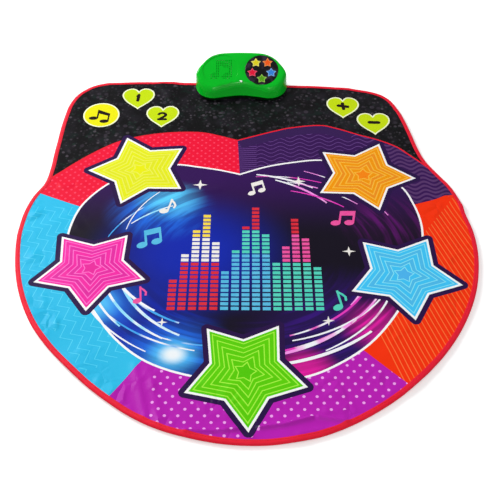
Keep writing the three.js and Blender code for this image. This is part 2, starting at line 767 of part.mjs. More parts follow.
function baseShell() {
  const drawnIn = growLoop(skirtLoop, -skirtUndercut);
  const coveLoop = skirtLoop.map((point, i) => (
    point.clone().lerp(drawnIn[i], THREE.MathUtils.clamp((matEdgeReach - point.y) / skirtFade, 0, 1))
  ));
  const lipBottom = splitHeight - skirtLip;
  const outside = toSolid(skin([
    atHeight(coveLoop, baseBottom),
    atHeight(coveLoop, lipBottom - skirtCove),
    atHeight(skirtLoop, lipBottom),
    atHeight(skirtLoop, splitHeight),
  ], false));
  const lipLoop = growLoop(boxOutline, -(shellWall + lipClearance));
  const room = toSolid(boxForm(shellWall + lipClearance, baseBottom));
  const lipHole = growLoop(lipLoop, -lipWall);
  const lipTop = splitHeight + lipHeight;
  const lip = toSolid(prism(lipLoop, [lipHole], splitHeight - overrun, lipTop)).intersect(room);
  const matSpace = toSolid(prism(growLoop(matInBox, fitClearance), [], -overrun, trayBottom));
  const trayLoop = growLoop(matInBox, -(bindingWidth + fitClearance));
  const trayPlate = toSolid(prism(trayLoop, [], matTop + fitClearance, trayBottom + fitClearance));
  const tray = outside.intersect(trayPlate);
  const innerLoop = growLoop(boxOutline, -(shellWall + lipClearance + lipWall));
  const upper = toSolid(prism(innerLoop, [], trayTop, splitHeight + overrun));
  const tubFront = growLoop(matInBox, fitClearance + baseWall);
  const tubRoom = toSolid(prism(tubFront, [], -overrun, splitHeight + overrun));
  const lower = toSolid(prism(innerLoop, [], baseFloorTop, splitHeight + overrun)).subtract(tubRoom);
  const bay = toSolid(block(
    -bayHalf - bayWall,
    bayHalf + bayWall,
    bayFront - bayWall,
    bayRear + bayWall,
    baseBottom,
    bayTop,
  )).subtract(matSpace).intersect(room);
  const bosses = screwSpots.map(([, x, y]) => {
    const bottom = y === frontScrewReach ? trayBottom : baseBottom;
    return toSolid(rod(bossRadius, bottom, splitHeight, x, y));
  });
  const doorPost = toSolid(rod(bossRadius, baseBottom, doorScrewTop + bayWall, doorScrewSide, bayMiddle));
  let shell = outside.add(lip).subtract(matSpace).add(tray).subtract(upper).subtract(lower);
  shell = [bay, ...bosses, doorPost].reduce((sum, part) => sum.add(part), shell);
  const ledgeTop = baseBottom + doorThickness + fitClearance;
  const cuts = [
    block(-bayHalf, bayHalf, bayFront, bayRear, -overrun, bayTop + overrun),
    block(
      -bayHalf - doorLedge,
      bayHalf + bayWall + doorTab,
      bayFront - bayWall / 2,
      bayRear + bayWall / 2,
      -overrun,
      ledgeTop,
    ),
    rod(screwShank + fitClearance, -overrun, doorScrewTop + fitClearance, doorScrewSide, bayMiddle),
    prism(moveLoop(ribbonSlot, -boxCentre, -boxFront), [], -overrun, trayTop + overrun),
    ...screwSpots.map(([, x, y]) => rod(screwShank + fitClearance, -overrun, splitHeight + overrun, x, y)),
    ...screwSpots.filter(([, , y]) => y === rearScrewReach).map(([, x, y]) => rod(
      screwHead + fitClearance,
      -overrun,
      baseBottom + screwHeadHeight + fitClearance,
      x,
      y,
    )),
    ...[-1, 1].map((side) => rod(
      footRadius + fitClearance,
      -overrun,
      footHeight,
      side * footSide,
      footReach,
      footSegments,
    )),
  ];
  return toGeometry(cuts.reduce((rest, cut) => rest.subtract(toSolid(cut)), shell));
}

place(box, 'base_shell', baseShell(), finishes.base);

// Rubber feet under the tub
[['left', -1], ['right', 1]].forEach(([side, sign]) => {
  const foot = rod(footRadius, 0, footHeight - fitClearance, sign * footSide, footReach, footSegments);
  place(box, `foot_${side}`, sealed(foot), finishes.rubber);
});

// Screw with a flat head, head down
function screw(bottom, top) {
  return turned([
    [0, bottom], [screwHead, bottom], [screwHead, bottom + screwHeadHeight],
    [screwShank, bottom + screwHeadHeight], [screwShank, top], [0, top],
  ], smallSegments);
}

screwSpots.forEach(([spot, x, y]) => {
  const bottom = y === frontScrewReach ? 0 : baseBottom;
  const fastener = screw(bottom, splitHeight + screwBite).translate(x, y, 0);
  place(box, `case_screw_${spot}`, sealed(fastener), finishes.steel);
});

// Battery bay

const cellBase = baseBottom + doorThickness + fitClearance;
const rows = [bayFront + cellClearance + cellRadius, bayRear - cellClearance - cellRadius];

function batteryCell(direction, y) {
  const body = turned([
    [0, 0], [cellRadius, 0], [cellRadius, cellLength - nubLength], [nubRadius, cellLength - nubLength],
    [nubRadius, cellLength], [0, cellLength],
  ], cellSegments);
  body.rotateY(Math.PI / 2);
  if (direction < 0) {
    body.rotateZ(Math.PI);
    return body.translate(-cellClearance, y, cellBase + cellRadius);
  }
  return body.translate(cellClearance, y, cellBase + cellRadius);
}

rows.forEach((y, row) => {
  [-1, 1].forEach((direction, column) => {
    place(box, `battery_cell_${row * 2 + column + 1}`, sealed(batteryCell(direction, y)), finishes.cell);
  });
});

// Sprung plate that touches the ends of the cells in the given rows
function contactStrip(side, touched) {
  const plateOuter = side * (bayHalf - fitClearance);
  const plateInner = plateOuter - side * contactPlate;
  const plate = block(
    Math.min(plateOuter, plateInner),
    Math.max(plateOuter, plateInner),
    Math.min(...touched) - cellRadius / 2,
    Math.max(...touched) + cellRadius / 2,
    cellBase,
    bayTop - fitClearance,
  );
  const bosses = touched.map((y) => new THREE.CylinderGeometry(
    contactBossRadius,
    contactBossRadius,
    contactBossHeight + contactPlate,
    smallSegments,
  ).rotateZ(Math.PI / 2).translate(
    plateInner - side * (contactBossHeight - contactPlate) / 2,
    y,
    cellBase + cellRadius,
  ));
  return carve(plate, bosses, []);
}

place(box, 'contact_strip_left', contactStrip(-1, rows), finishes.steel);
place(box, 'contact_plate_front', contactStrip(1, rows.slice(0, 1)), finishes.steel);
place(box, 'contact_plate_rear', contactStrip(1, rows.slice(1)), finishes.steel);

place(box, 'battery_door', carve(
  block(
    -bayHalf - doorLedge + fitClearance,
    bayHalf + bayWall + doorTab - fitClearance,
    bayFront - bayWall / 2 + fitClearance,
    bayRear + bayWall / 2 - fitClearance,
    baseBottom,
    baseBottom + doorThickness,
  ),
  [],
  [
    rod(screwShank + fitClearance, -overrun, baseBottom + doorThickness + overrun, doorScrewSide, bayMiddle),
    rod(screwHead + fitClearance, -overrun, baseBottom + screwHeadHeight, doorScrewSide, bayMiddle),
  ],
), finishes.base);
const doorFastener = screw(baseBottom, doorScrewTop).translate(doorScrewSide, bayMiddle, 0);
place(box, 'door_screw', sealed(doorFastener), finishes.steel);

// Power switch: a body on the shelf and a ribbed knob through the rear wall
const switchBack = innerWallReach - knobFoot;
place(box, 'switch_body', sealed(block(
  -switchBodyWidth / 2,
  switchBodyWidth / 2,
  switchBack - switchBodyDepth,
  switchBack,
  switchHeight - switchBodyHeight / 2,
  switchHeight + switchBodyHeight / 2,
)), finishes.steel);

const knobFace = rearWallReach + knobProud;
const knobRibs = 3;
place(box, 'switch_knob', carve(
  block(
    knobLeft,
    knobLeft + knobWidth,
    switchBack + fitClearance,
    knobFace,
    switchHeight - knobHeight / 2,
    switchHeight + knobHeight / 2,
  ),
  Array.from({ length: knobRibs }, (_, i) => {
    const left = knobLeft + ((i + 1) * knobWidth) / (knobRibs + 1) - knobRib / 2;
    return block(
      left,
      left + knobRib,
      knobFace - knobRib,
      knobFace + knobRib,
      switchHeight - knobHeight / 2,
      switchHeight + knobHeight / 2,
    );
  }),
  [],
), finishes.knob);

// Ribbon that carries the contacts' lines from the circuit film up to the board
const ribbonSection = [
  [0, spacerBase], [ribbonFoot, spacerBase], [ribbonFoot, spacerBase + ribbonThickness],
  [ribbonThickness, spacerBase + ribbonThickness], [ribbonThickness, ribbonTop], [0, ribbonTop],
].map(([y, z]) => new THREE.Vector2(y + ribbonReach - ribbonThickness / 2, z));
const acrossBox = new THREE.Matrix4().makeBasis(
  new THREE.Vector3(0, 1, 0),
  new THREE.Vector3(0, 0, 1),
  new THREE.Vector3(1, 0, 0),
);
const ribbonLeft = windowSide - ribbonWidth / 2;
place(
  box,
  'ribbon_tail',
  sealed(prism(ribbonSection, [], ribbonLeft, ribbonLeft + ribbonWidth).applyMatrix4(acrossBox)),
  finishes.film,
);

// Window with the star lights, in the deck's own frame

function atLens(loop, i) {
  return moveLoop(loop, lensSpots[i][0], lensSpots[i][1]);
}

const lensLoop = starLoop(lensRadius, lensNotchRadius, 90);
place(deck, 'window_plate', sealed(prism(
  circleLoop(windowRadius, windowSide, deckAxisReach, deckSegments),
  lensSpots.map((spot, i) => atLens(growLoop(lensLoop, fitClearance), i)),
  -windowThickness,
  0,
)), finishes.window);
lensOrder.forEach((name, i) => {
  const { colour } = starPads.find((pad) => pad.name === name);
  const lens = prism(atLens(lensLoop, i), [], -windowThickness, lensProud);
  place(deck, `light_lens_${name}`, sealed(lens), { ...finishes.lime, color: colour });
});

place(deck, 'pilot_lens', sealed(turned([
  [0, -pilotHeight], [pilotRadius, -pilotHeight], [pilotRadius, 0],
  [pilotRadius / 2, lensProud], [0, lensProud],
], smallSegments).translate(0, pilotReach, 0)), finishes.pilot);

// Circuit board under the window, with its lights, chip and ribbon connector
const boardMiddle = -boardDrop - boardThickness / 2;
place(deck, 'circuit_board', carve(
  rod(boardRadius, -boardDrop - boardThickness, -boardDrop, windowSide, deckAxisReach, roundSegments),
  [
    ...lensSpots.map(([x, y]) => rod(ledRadius, boardMiddle, -boardDrop + ledHeight, x, y)),
    block(
      windowSide - chipWidth / 2,
      windowSide + chipWidth / 2,
      deckAxisReach,
      deckAxisReach + chipWidth,
      -boardDrop - boardThickness - chipHeight,
      boardMiddle,
    ),
    block(
      windowSide - connectorWidth / 2,
      windowSide + connectorWidth / 2,
      connectorReach - connectorDepth / 2,
      connectorReach + connectorDepth / 2,
      -connectorDrop,
      boardMiddle,
    ),
  ],
  [],
), finishes.board);

// Speaker under the grille
const speaker = new THREE.Group();
speaker.position.set(-speakerSide, deckAxisReach, -(shellWall + fitClearance));
deck.add(speaker);
const mouthRadius = speakerRadius - 3 * basketWall;
place(speaker, 'speaker_frame', sealed(turned([
  [mouthRadius, 0], [mouthRadius, -speakerFlange], [basketThroat, -speakerDepth],
  [basketThroat + basketWall, -speakerDepth], [mouthRadius + basketWall, -speakerFlange],
  [speakerRadius, -speakerFlange], [speakerRadius, 0], [mouthRadius, 0],
])), finishes.steel);
const coneEdge = mouthRadius - basketWall;
const coneBase = -speakerDepth / 2;
place(speaker, 'speaker_cone', sealed(turned([
  [0, coneBase - coneWall], [capRadius, coneBase - coneWall], [coneEdge, -coneWall], [coneEdge, 0],
  [capRadius, coneBase], [capRadius / 2, coneBase + 2 * coneWall], [0, coneBase + 2.5 * coneWall],
])), finishes.cone);
const magnetTop = -speakerDepth - fitClearance;
place(speaker, 'speaker_magnet', sealed(turned([
  [0, magnetTop - magnetHeight], [magnetRadius, magnetTop - magnetHeight],
  [magnetRadius, magnetTop], [0, magnetTop],
])), finishes.magnet);

// Origin: middle of the whole object's footprint, on the floor
const extent = new THREE.Box3().setFromObject(model);
model.position.set(-(extent.min.x + extent.max.x) / 2, -(extent.min.y + extent.max.y) / 2, -extent.min.z);

export default model;
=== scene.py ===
import math

import bmesh
import bpy
import numpy as np
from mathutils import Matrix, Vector, noise
from mathutils.geometry import delaunay_2d_cdt


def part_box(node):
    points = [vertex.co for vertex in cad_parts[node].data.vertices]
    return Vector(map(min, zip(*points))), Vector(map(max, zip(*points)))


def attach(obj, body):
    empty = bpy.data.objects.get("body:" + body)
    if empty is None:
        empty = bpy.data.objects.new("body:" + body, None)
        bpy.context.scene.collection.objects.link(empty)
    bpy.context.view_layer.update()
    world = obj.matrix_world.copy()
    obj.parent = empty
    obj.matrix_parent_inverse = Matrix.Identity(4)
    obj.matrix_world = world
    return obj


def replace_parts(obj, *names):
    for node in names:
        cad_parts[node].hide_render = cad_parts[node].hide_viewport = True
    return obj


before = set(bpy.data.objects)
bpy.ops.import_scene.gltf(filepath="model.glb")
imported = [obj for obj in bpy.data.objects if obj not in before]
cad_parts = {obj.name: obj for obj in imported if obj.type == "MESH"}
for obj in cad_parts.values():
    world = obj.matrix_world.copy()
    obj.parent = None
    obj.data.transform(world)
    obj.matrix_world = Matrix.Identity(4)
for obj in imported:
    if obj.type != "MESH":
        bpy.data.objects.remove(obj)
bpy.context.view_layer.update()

mm = 0.001
touch = 0.01  # millimetres within which two places are the same
matLow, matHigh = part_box("edge_binding")
matMiddle = (matLow + matHigh) / 2
full = 2 * math.pi


# Camera

cameraView = {
    "place": (8.23, -1172.1, 1210.2),
    "turn": (42.755, -0.061, 0.066),
    "lens": 60.84,
    "sensor": 36,
}

camera = bpy.data.objects.new("camera", bpy.data.cameras.new("camera"))
bpy.context.scene.collection.objects.link(camera)
camera.location = [place * mm + middle for place, middle in zip(cameraView["place"], (*matMiddle[:2], 0))]
camera.rotation_euler = [math.radians(turn) for turn in cameraView["turn"]]
camera.data.lens = cameraView["lens"]
camera.data.sensor_width = cameraView["sensor"]
camera.data.clip_end = 50
bpy.context.scene.camera = camera
bpy.context.scene.view_settings.view_transform = "Standard"


# Shader expressions

def colourOf(red, green, blue):  # a colour as the eye reads it, 0 to 255
    parts = [part / 255 for part in (red, green, blue)]
    linear = [part / 12.92 if part <= 0.04045 else ((part + 0.055) / 1.055) ** 2.4 for part in parts]
    return (*linear, 1.0)


def sign(operation, turnedRound=False):  # one of Python's own signs, between a wire and another value
    def method(wire, other):
        first, second = (other, wire) if turnedRound else (wire, other)
        return wire.finish.maths(operation, first, second)
    return method


class Wire:  # one shader value, which Python's own signs work on
    def __init__(self, finish, socket):
        self.finish, self.socket = finish, socket

    __add__, __radd__ = sign("ADD"), sign("ADD", True)
    __sub__, __rsub__ = sign("SUBTRACT"), sign("SUBTRACT", True)
    __mul__, __rmul__ = sign("MULTIPLY"), sign("MULTIPLY", True)
    __truediv__, __gt__, __lt__ = sign("DIVIDE"), sign("GREATER_THAN"), sign("LESS_THAN")

    def __abs__(self):
        return self.finish.maths("ABSOLUTE", self)

    def floor(self):
        return self.finish.maths("FLOOR", self)

    def fraction(self):
        return self.finish.maths("FRACT", self)

    def root(self):
        return self.finish.maths("SQRT", self)

    def wave(self):  # sine of a turn counted from 0 to 1
        return self.finish.maths("SINE", self * full)

    def folded(self, pitch):  # counted from the middle of each stripe of that pitch
        return ((self / pitch).fraction() - 0.5) * pitch

    def clamped(self):
        return self.finish.maths("ADD", self, 0.0, clamp=True)

    def smooth(self, low, high):  # 0 below low, 1 above high
        inputs = {0: self, 1: low, 2: high, 3: 0.0, 4: 1.0}
        return self.finish.node("ShaderNodeMapRange", {"interpolation_type": "SMOOTHSTEP"}, inputs)

    def within(self, half, soft):  # 1 where the value is nearer to zero than half
        return ((half - abs(self)) / soft + 0.5).clamped()


class Finish:  # one material and the nodes that make it
    def __init__(self, name):
        self.material = bpy.data.materials.new(name)
        self.material.use_nodes = True
        self.tree = self.material.node_tree
        self.tree.nodes.clear()

    def node(self, kind, settings, inputs, output=0):
        made = self.tree.nodes.new(kind)
        for key, value in settings.items():
            setattr(made, key, value)
        for key, value in inputs.items():
            if isinstance(value, Wire):
                self.tree.links.new(value.socket, made.inputs[key])
            else:
                made.inputs[key].default_value = value
        return Wire(self, made.outputs[output]) if len(made.outputs) else made

    def maths(self, operation, *values, clamp=False):
        settings = {"operation": operation, "use_clamp": clamp}
        return self.node("ShaderNodeMath", settings, dict(enumerate(values)))

    def vectors(self, operation, *values):
        return self.node("ShaderNodeVectorMath", {"operation": operation}, dict(enumerate(values)))

    def mix(self, factor, first, second, how="MIX"):
        settings = {"data_type": "RGBA", "blend_type": how}
        return self.node("ShaderNodeMix", settings, {0: factor, 6: first, 7: second}, 2)

    def tones(self, factor, first, second):  # between two colours as the eye reads them
        return self.mix(factor, colourOf(*first), colourOf(*second))

    def split(self, vector):
        return [self.node("ShaderNodeSeparateXYZ", {}, {0: vector}, part) for part in range(3)]

    def away(self, x, y):
        return (x * x + y * y).root()

    def weave(self, x, y, size):
        return (x / size).wave() * (y / size).wave()

    def join(self, x, y, z):
        return self.node("ShaderNodeCombineXYZ", {}, {0: x, 1: y, 2: z})

    def place(self):  # millimetres from the mat's middle
        coordinate = self.node("ShaderNodeTexCoord", {}, {}, "Object")
        centred = self.vectors("SUBTRACT", coordinate, (matMiddle.x, matMiddle.y, 0))
        return self.vectors("MULTIPLY", centred, (1 / mm, 1 / mm, 1 / mm))

    def cloud(self, place, size, detail=2.0, roughness=0.5):  # noise with blots of that size
        inputs = {"Vector": place, "Scale": 1 / size, "Detail": detail, "Roughness": roughness}
        return self.node("ShaderNodeTexNoise", {}, inputs)

    def cells(self, place, size, feature="F1", output="Distance", jitter=1.0):
        inputs = {"Vector": place, "Scale": 1 / size, "Randomness": jitter}
        return self.node("ShaderNodeTexVoronoi", {"feature": feature}, inputs, output)

    def bump(self, height, depth, under=None):  # relief of that many millimetres
        inputs = {"Height": height, "Distance": depth * mm, "Strength": 1.0}
        if under:
            inputs["Normal"] = under
        return self.node("ShaderNodeBump", {}, inputs)

    def surface(self, **sockets):
        named = {key.replace("_", " "): value for key, value in sockets.items()}
        shader = self.node("ShaderNodeBsdfPrincipled", {}, named)
        self.node("ShaderNodeOutputMaterial", {}, {"Surface": shader})
        return self.material


# Printed sheet's finishes

vinyl = {
    "grain": 0.55, "grainDepth": 0.012,
    "ripple": 17, "rippleDepth": 0.18,
    "mottle": (60, 0.06),  # size of the lighter and darker blots, and their strength
    "crush": (38, 9), "crushEdge": (300, 440),  # crumpled facets and their depth, growing out from the middle
    "crushTop": 170, "crushBend": (50, 26), "crushPatch": (70, 0.45, 0.65),
    "roughness": 0.42, "roughnessSpread": 0.1, "roughnessPatch": 35, "gloss": 0.1,
}


def printed(name, paint, roughness=vinyl["roughness"]):  # satin printed vinyl over a woven backing
    finish = Finish(name)
    place = finish.place()
    x, y, _ = finish.split(place)
    blot, strength = vinyl["mottle"]
    mottle = finish.tones(finish.cloud(place, blot, 3), (0, 0, 0), (255, 255, 255))
    ink = finish.mix(strength, paint(finish, place, x, y), mottle, "OVERLAY")
    grain = finish.bump(finish.weave(x, y, vinyl["grain"]), vinyl["grainDepth"])
    ripple = finish.bump(finish.cloud(place, vinyl["ripple"], 2), vinyl["rippleDepth"], grain)
    (facet, depth), (bend, far), (patch, low, high) = vinyl["crush"], vinyl["crushBend"], vinyl["crushPatch"]
    bent = finish.vectors("ADD", place, finish.cloud(place, bend, 2) * far)
    outwards = finish.away(x, y).smooth(*vinyl["crushEdge"]) * (y < vinyl["crushTop"])
    patches = finish.cloud(place, patch).smooth(low, high)
    facets = finish.cells(bent, facet, "DISTANCE_TO_EDGE") * outwards * patches
    crushed = finish.bump(facets, depth, ripple)
    spread = vinyl["roughnessSpread"]
    rough = finish.cloud(place, vinyl["roughnessPatch"], 3) * spread + (roughness - spread / 2)
    return finish.surface(Base_Color=ink, Roughness=rough, Normal=crushed, Specular_IOR_Level=vinyl["gloss"])


def plain(*colour):
    return lambda finish, place, x, y: colourOf(*colour)


def leftSide(ends, x, y):  # 1 on the left of the line from the first point to the second
    (x0, y0), (x1, y1) = ends
    return ((x1 - x0) * (y - y0) - (y1 - y0) * (x - x0)) > 0


def dotted(base, mark, pitch, rows, radius, start=None, shift=0.0, foot=None):  # staggered rows
    def paint(finish, place, x, y):
        y = y - shift
        row = (y / rows).floor()
        across = ((x / pitch + row * 0.5).fraction() - 0.5) * pitch
        spot = finish.away(across, y.folded(rows)).smooth(radius + 0.3, radius - 0.3)
        if start is not None:
            spot = spot * (x > start)
        if foot:  # no dots on the right of this line
            spot = spot * finish.maths("MAXIMUM", leftSide(foot, x, y + shift), x < foot[0][0])
        return finish.tones(spot, base, mark)
    return paint


red = {"base": (241, 16, 56), "mark": (255, 66, 98), "pitch": 17.7, "rows": 8.9, "radius": 2.4}
magenta = {
    "base": (188, 30, 183), "mark": (246, 168, 244), "pitch": 22, "rows": 12.6, "radius": 2.6,
    "start": -157, "shift": 4.6, "foot": ((30, -453), (150, -422)),
}

purple = {
    "base": colourOf(55, 20, 84), "line": (104, 66, 138), "broadLine": (88, 54, 108),
    "left": 22,  # left of here the lines lie almost flat
    "width": 1.9, "broad": 6.4, "broaden": (225, 330),  # line widths left and right of the star
    "flat": (6.5, 60, 0.6), "high": (12.6, 42.6, 5.4),  # pitch, wave, height
}


def waved(finish, place, x, y):
    wider = x.smooth(*purple["broaden"])
    width = purple["width"] + wider * (purple["broad"] - purple["width"])

    def lines(pitch, length, height):
        return (y + (x / length).wave() * height).folded(pitch).within(width / 2, 0.6)
    near = x < purple["left"]
    marks = near * lines(*purple["flat"]) + (1 - near) * lines(*purple["high"])
    tone = finish.tones(wider, purple["line"], purple["broadLine"])
    return finish.mix(marks, purple["base"], tone)


orange = {
    "base": (253, 52, 8), "line": (255, 118, 56),
    "pitch": 9.5, "width": 1.8, "first": 256.4, "lean": 0.3, "bend": 0.00006, "from": -315,
    "wedge": ((362, 1), (421, 81)),
}


def striped(finish, place, x, y):
    rise, pitch = y - orange["from"], orange["pitch"]
    across = x + rise * orange["lean"] + rise * rise * orange["bend"] - orange["first"] + pitch / 2
    marks = across.folded(pitch).within(orange["width"] / 2, 0.5)
    below = 1 - leftSide(orange["wedge"], x, y)
    return finish.tones(marks * below * (across > 0), orange["base"], orange["line"])


cyan = {
    "base": (46, 192, 236), "line": (84, 216, 248),
    "turn": -62.6, "pitch": 19, "period": 36, "flat": 0.414, "height": 18.5, "width": 1.9,
    "start": (89.8, -416.2), "top": 60,
    "left": ((-393, -178), (-286, -336)), "foot": ((-261, -339), (-202, -300)),
}


def zigzagged(finish, place, x, y):
    turn, (along0, across0) = math.radians(cyan["turn"]), cyan["start"]
    along = x * math.cos(turn) + y * math.sin(turn)
    across = y * math.cos(turn) - x * math.sin(turn)
    share = ((along - along0) / cyan["period"]).fraction()
    climb = finish.maths("MINIMUM", share / cyan["flat"], (1 - share) / (1 - cyan["flat"]))
    level = across - (climb - 0.5) * cyan["height"] - across0
    marks = level.folded(cyan["pitch"]).within(cyan["width"] / 2, 0.5)
    _, leftY = cyan["left"][0]
    kept = finish.maths("MAXIMUM", leftSide(cyan["left"], x, y), y > leftY)
    kept = kept * leftSide(cyan["foot"], x, y) * (y < cyan["top"])
    return finish.tones(marks * kept, cyan["base"], cyan["line"])


header = {
    "base": (12, 11, 14), "haze": (30, 27, 34), "hazeSize": 34, "hazeFrom": (0.42, 0.7),
    "moss": colourOf(14, 32, 28), "mossSize": 22, "mossFrom": (0.52, 0.72), "aside": (310.0, 0.0, 0.0),
    "specks": (  # spacing, greatest radius, strength, colour
        (17, 6.2, 0.55, colourOf(70, 62, 74)), (12, 4.2, 0.8, colourOf(86, 79, 88)),
        (9, 2.8, 0.7, colourOf(72, 68, 74)), (13, 3.8, 0.6, colourOf(40, 64, 54)),
    ),
}


def speckled(finish, place, x, y):
    haze = finish.cloud(place, header["hazeSize"], 4).smooth(*header["hazeFrom"])
    moved = finish.vectors("ADD", place, header["aside"])
    moss = finish.cloud(moved, header["mossSize"], 3).smooth(*header["mossFrom"])
    ink = finish.mix(moss * 0.7, finish.tones(haze, header["base"], header["haze"]), header["moss"])
    for spacing, radius, strength, colour in header["specks"]:
        near = finish.cells(place, spacing) * spacing
        tone = finish.split(finish.cells(place, spacing, output="Color"))
        size = (tone[0] * 0.75 + 0.25) * radius
        spot = (near - size).smooth(0.9, -0.9) * tone[1] * strength
        ink = finish.mix(spot, ink, colour)
    return ink


# Picture in the middle: a dark ground with streaked glows, light trails round it and an equaliser

picture = {
    "middle": (0, -70), "half": (350, 285),
    "ground": colourOf(20, 14, 30), "streaks": (1.7, 30),
    "glows": (  # place in shares of the picture's half size, reach there, how streaked, colour
        ((-0.30, 0.02), 0.66, 0.0, "royal"), ((-0.52, -0.60), 0.46, 0.5, "royal"),
        ((0.48, -0.66), 0.60, 0.6, "violet"), ((-0.50, 0.42), 0.36, 0.7, "sky"),
        ((-0.45, 0.52), 0.24, 0.6, "ice"), ((-0.78, -0.44), 0.30, 0.2, "sky"),
        ((-0.82, -0.44), 0.20, 0.1, "ice"), ((-0.36, -0.82), 0.34, 0.5, "sky"),
        ((-0.36, -0.83), 0.17, 0.2, "ice"), ((-0.36, -0.83), 0.09, 0.0, "hot"),
        ((0.68, -0.60), 0.24, 0.6, "pink"), ((0.30, -0.95), 0.20, 0.3, "pink"),
        ((0.80, 0.30), 0.34, 0.9, "wine"),
    ),
    "royal": colourOf(16, 40, 172), "plum": colourOf(56, 18, 92), "violet": colourOf(56, 20, 124),
    "sky": colourOf(34, 116, 240), "ice": colourOf(92, 210, 255), "hot": colourOf(246, 252, 255),
    "pink": colourOf(244, 32, 170), "wine": colourOf(92, 18, 104),
}


def neon(finish, place, x, y):  # dark ground, blue to the left and plum above, with streaked glows
    (midX, midY), (halfX, halfY) = picture["middle"], picture["half"]
    across, up = (x - midX) / halfX, (y - midY) / halfY
    reach = finish.away(across, up) + 0.001
    around, fine = picture["streaks"]
    streaks = finish.cloud(finish.join(across / reach * around, up / reach * around, reach * fine), 1.0, 3)
    streaks = streaks.smooth(0.42, 0.64)
    ink = finish.mix(up.smooth(0.15, 0.8) * 0.85, picture["ground"], picture["plum"])
    for (glowX, glowY), far, streaked, colour in picture["glows"]:
        glow = finish.away(across - glowX, up - glowY).smooth(far, far * 0.15)
        ink = finish.mix(glow * (streaks * streaked + (1 - streaked)), ink, picture[colour])
    return ink


def trailInk(left, right):  # light trails, blue on the left and pink on the right, with white stretches
    def paint(finish, place, x, y):
        tint = finish.tones(x.smooth(-40, 40), left, right)
        hot = finish.cloud(place, 48, 1).smooth(0.44, 0.6)
        return finish.mix(hot, tint, colourOf(248, 250, 255))
    return paint


def lit(colour, edge):  # equaliser blocks and notes, lighter to one side
    return lambda finish, place, x, y: finish.tones(finish.cloud(place, 12, 2) * 0.5, colour, edge)


paints = {
    "header": speckled, "red": dotted(**red), "purple": waved, "orange": striped,
    "magenta": dotted(**magenta), "cyan": zigzagged,
    "white": plain(255, 255, 255), "ring": plain(42, 17, 72), "red_line": plain(236, 26, 48),
    "picture": neon, "plum": plain(54, 27, 84),
    "trail": trailInk((70, 170, 245), (236, 60, 190)),
    "trail_pale": trailInk((150, 226, 255), (252, 150, 236)),
    "trail_white": plain(250, 250, 255),
    "yellow_mark": lit((250, 214, 40), (255, 240, 130)),
    "scarlet_mark": lit((214, 30, 50), (240, 70, 80)),
    "teal_mark": lit((60, 205, 180), (130, 235, 215)),
    "sky_mark": lit((64, 178, 222), (140, 220, 245)),
    "pink_mark": lit((238, 60, 150), (250, 130, 190)),
    "cream_mark": lit((240, 236, 230), (255, 252, 246)),
}
sheen = {"header": 0.36}  # where it isn't the vinyl's own roughness
printInks = {
    name: printed(f"print_{name}", paint, sheen.get(name, vinyl["roughness"]))
    for name, paint in paints.items()
}
inkNames = list(printInks)


# Outlines

def spline(points, steps, closed=False):  # smooth line through the points
    knots = np.array(points, float)
    if closed:
        padded = np.vstack((knots[-1:], knots, knots[:2]))
    else:
        padded = np.vstack((2 * knots[0] - knots[1], knots, 2 * knots[-1] - knots[-2]))
    share = np.linspace(0, 1, steps, endpoint=False)[:, None]
    found = []
    for a, b, c, d in zip(padded, padded[1:], padded[2:], padded[3:]):
        g0, g1, g2 = (np.linalg.norm(q - p) ** 0.5 for p, q in ((a, b), (b, c), (c, d)))
        start = ((b - a) / g0 - (c - a) / (g0 + g1) + (c - b) / g1) * g1
        end = ((c - b) / g1 - (d - b) / (g1 + g2) + (d - c) / g2) * g1
        cube, square = 2 * b - 2 * c + start + end, 3 * c - 3 * b - 2 * start - end
        found.append(b + start * share + square * share ** 2 + cube * share ** 3)
    return np.vstack(found) if closed else np.vstack((*found, knots[-1:]))


def evenly(loop, count):  # the same closed line in steps of one length
    ends = np.vstack((loop, loop[:1]))
    runs = np.concatenate(([0], np.cumsum(np.linalg.norm(np.diff(ends, axis=0), axis=1))))
    stops = np.linspace(0, runs[-1], count, endpoint=False)
    return np.column_stack([np.interp(stops, runs, ends[:, axis]) for axis in (0, 1)])


def turnLeft(loop):
    x, y = loop.T
    return loop if (x * np.roll(y, -1) - np.roll(x, -1) * y).sum() > 0 else loop[::-1]


def unit(ways):
    return ways / np.linalg.norm(ways, axis=1)[:, None]


def toRight(ways):
    return np.column_stack((ways[:, 1], -ways[:, 0]))


def outward(loop):  # direction and stretch of each corner as the loop grows
    before = loop - np.roll(loop, 1, 0)
    first, second = (toRight(unit(side)) for side in (before, np.roll(before, -1, 0)))
    middle = unit(first + second)
    return first, second, middle, 1 / (middle * first).sum(1)


def growLoop(loop, distance, roundSteps=0):
    first, second, middle, stretch = outward(loop)
    if not roundSteps:
        return loop + middle * (distance * stretch)[:, None]
    grown = []
    for point, a, b, m, s in zip(loop, first, second, middle, stretch):
        if a[0] * b[1] - a[1] * b[0] > 0:
            for step in np.linspace(0, 1, roundSteps + 1):
                way = a * (1 - step) + b * step
                grown.append(point + way / np.linalg.norm(way) * distance)
        else:
            grown.append(point + m * distance * s)
    return np.array(grown)


def turned(loop, degrees, scale=1.0):
    angle = math.radians(degrees)
    across, up = np.array((math.cos(angle), math.sin(angle))), np.array((-math.sin(angle), math.cos(angle)))
    return (loop[:, :1] * across + loop[:, 1:] * up) * scale


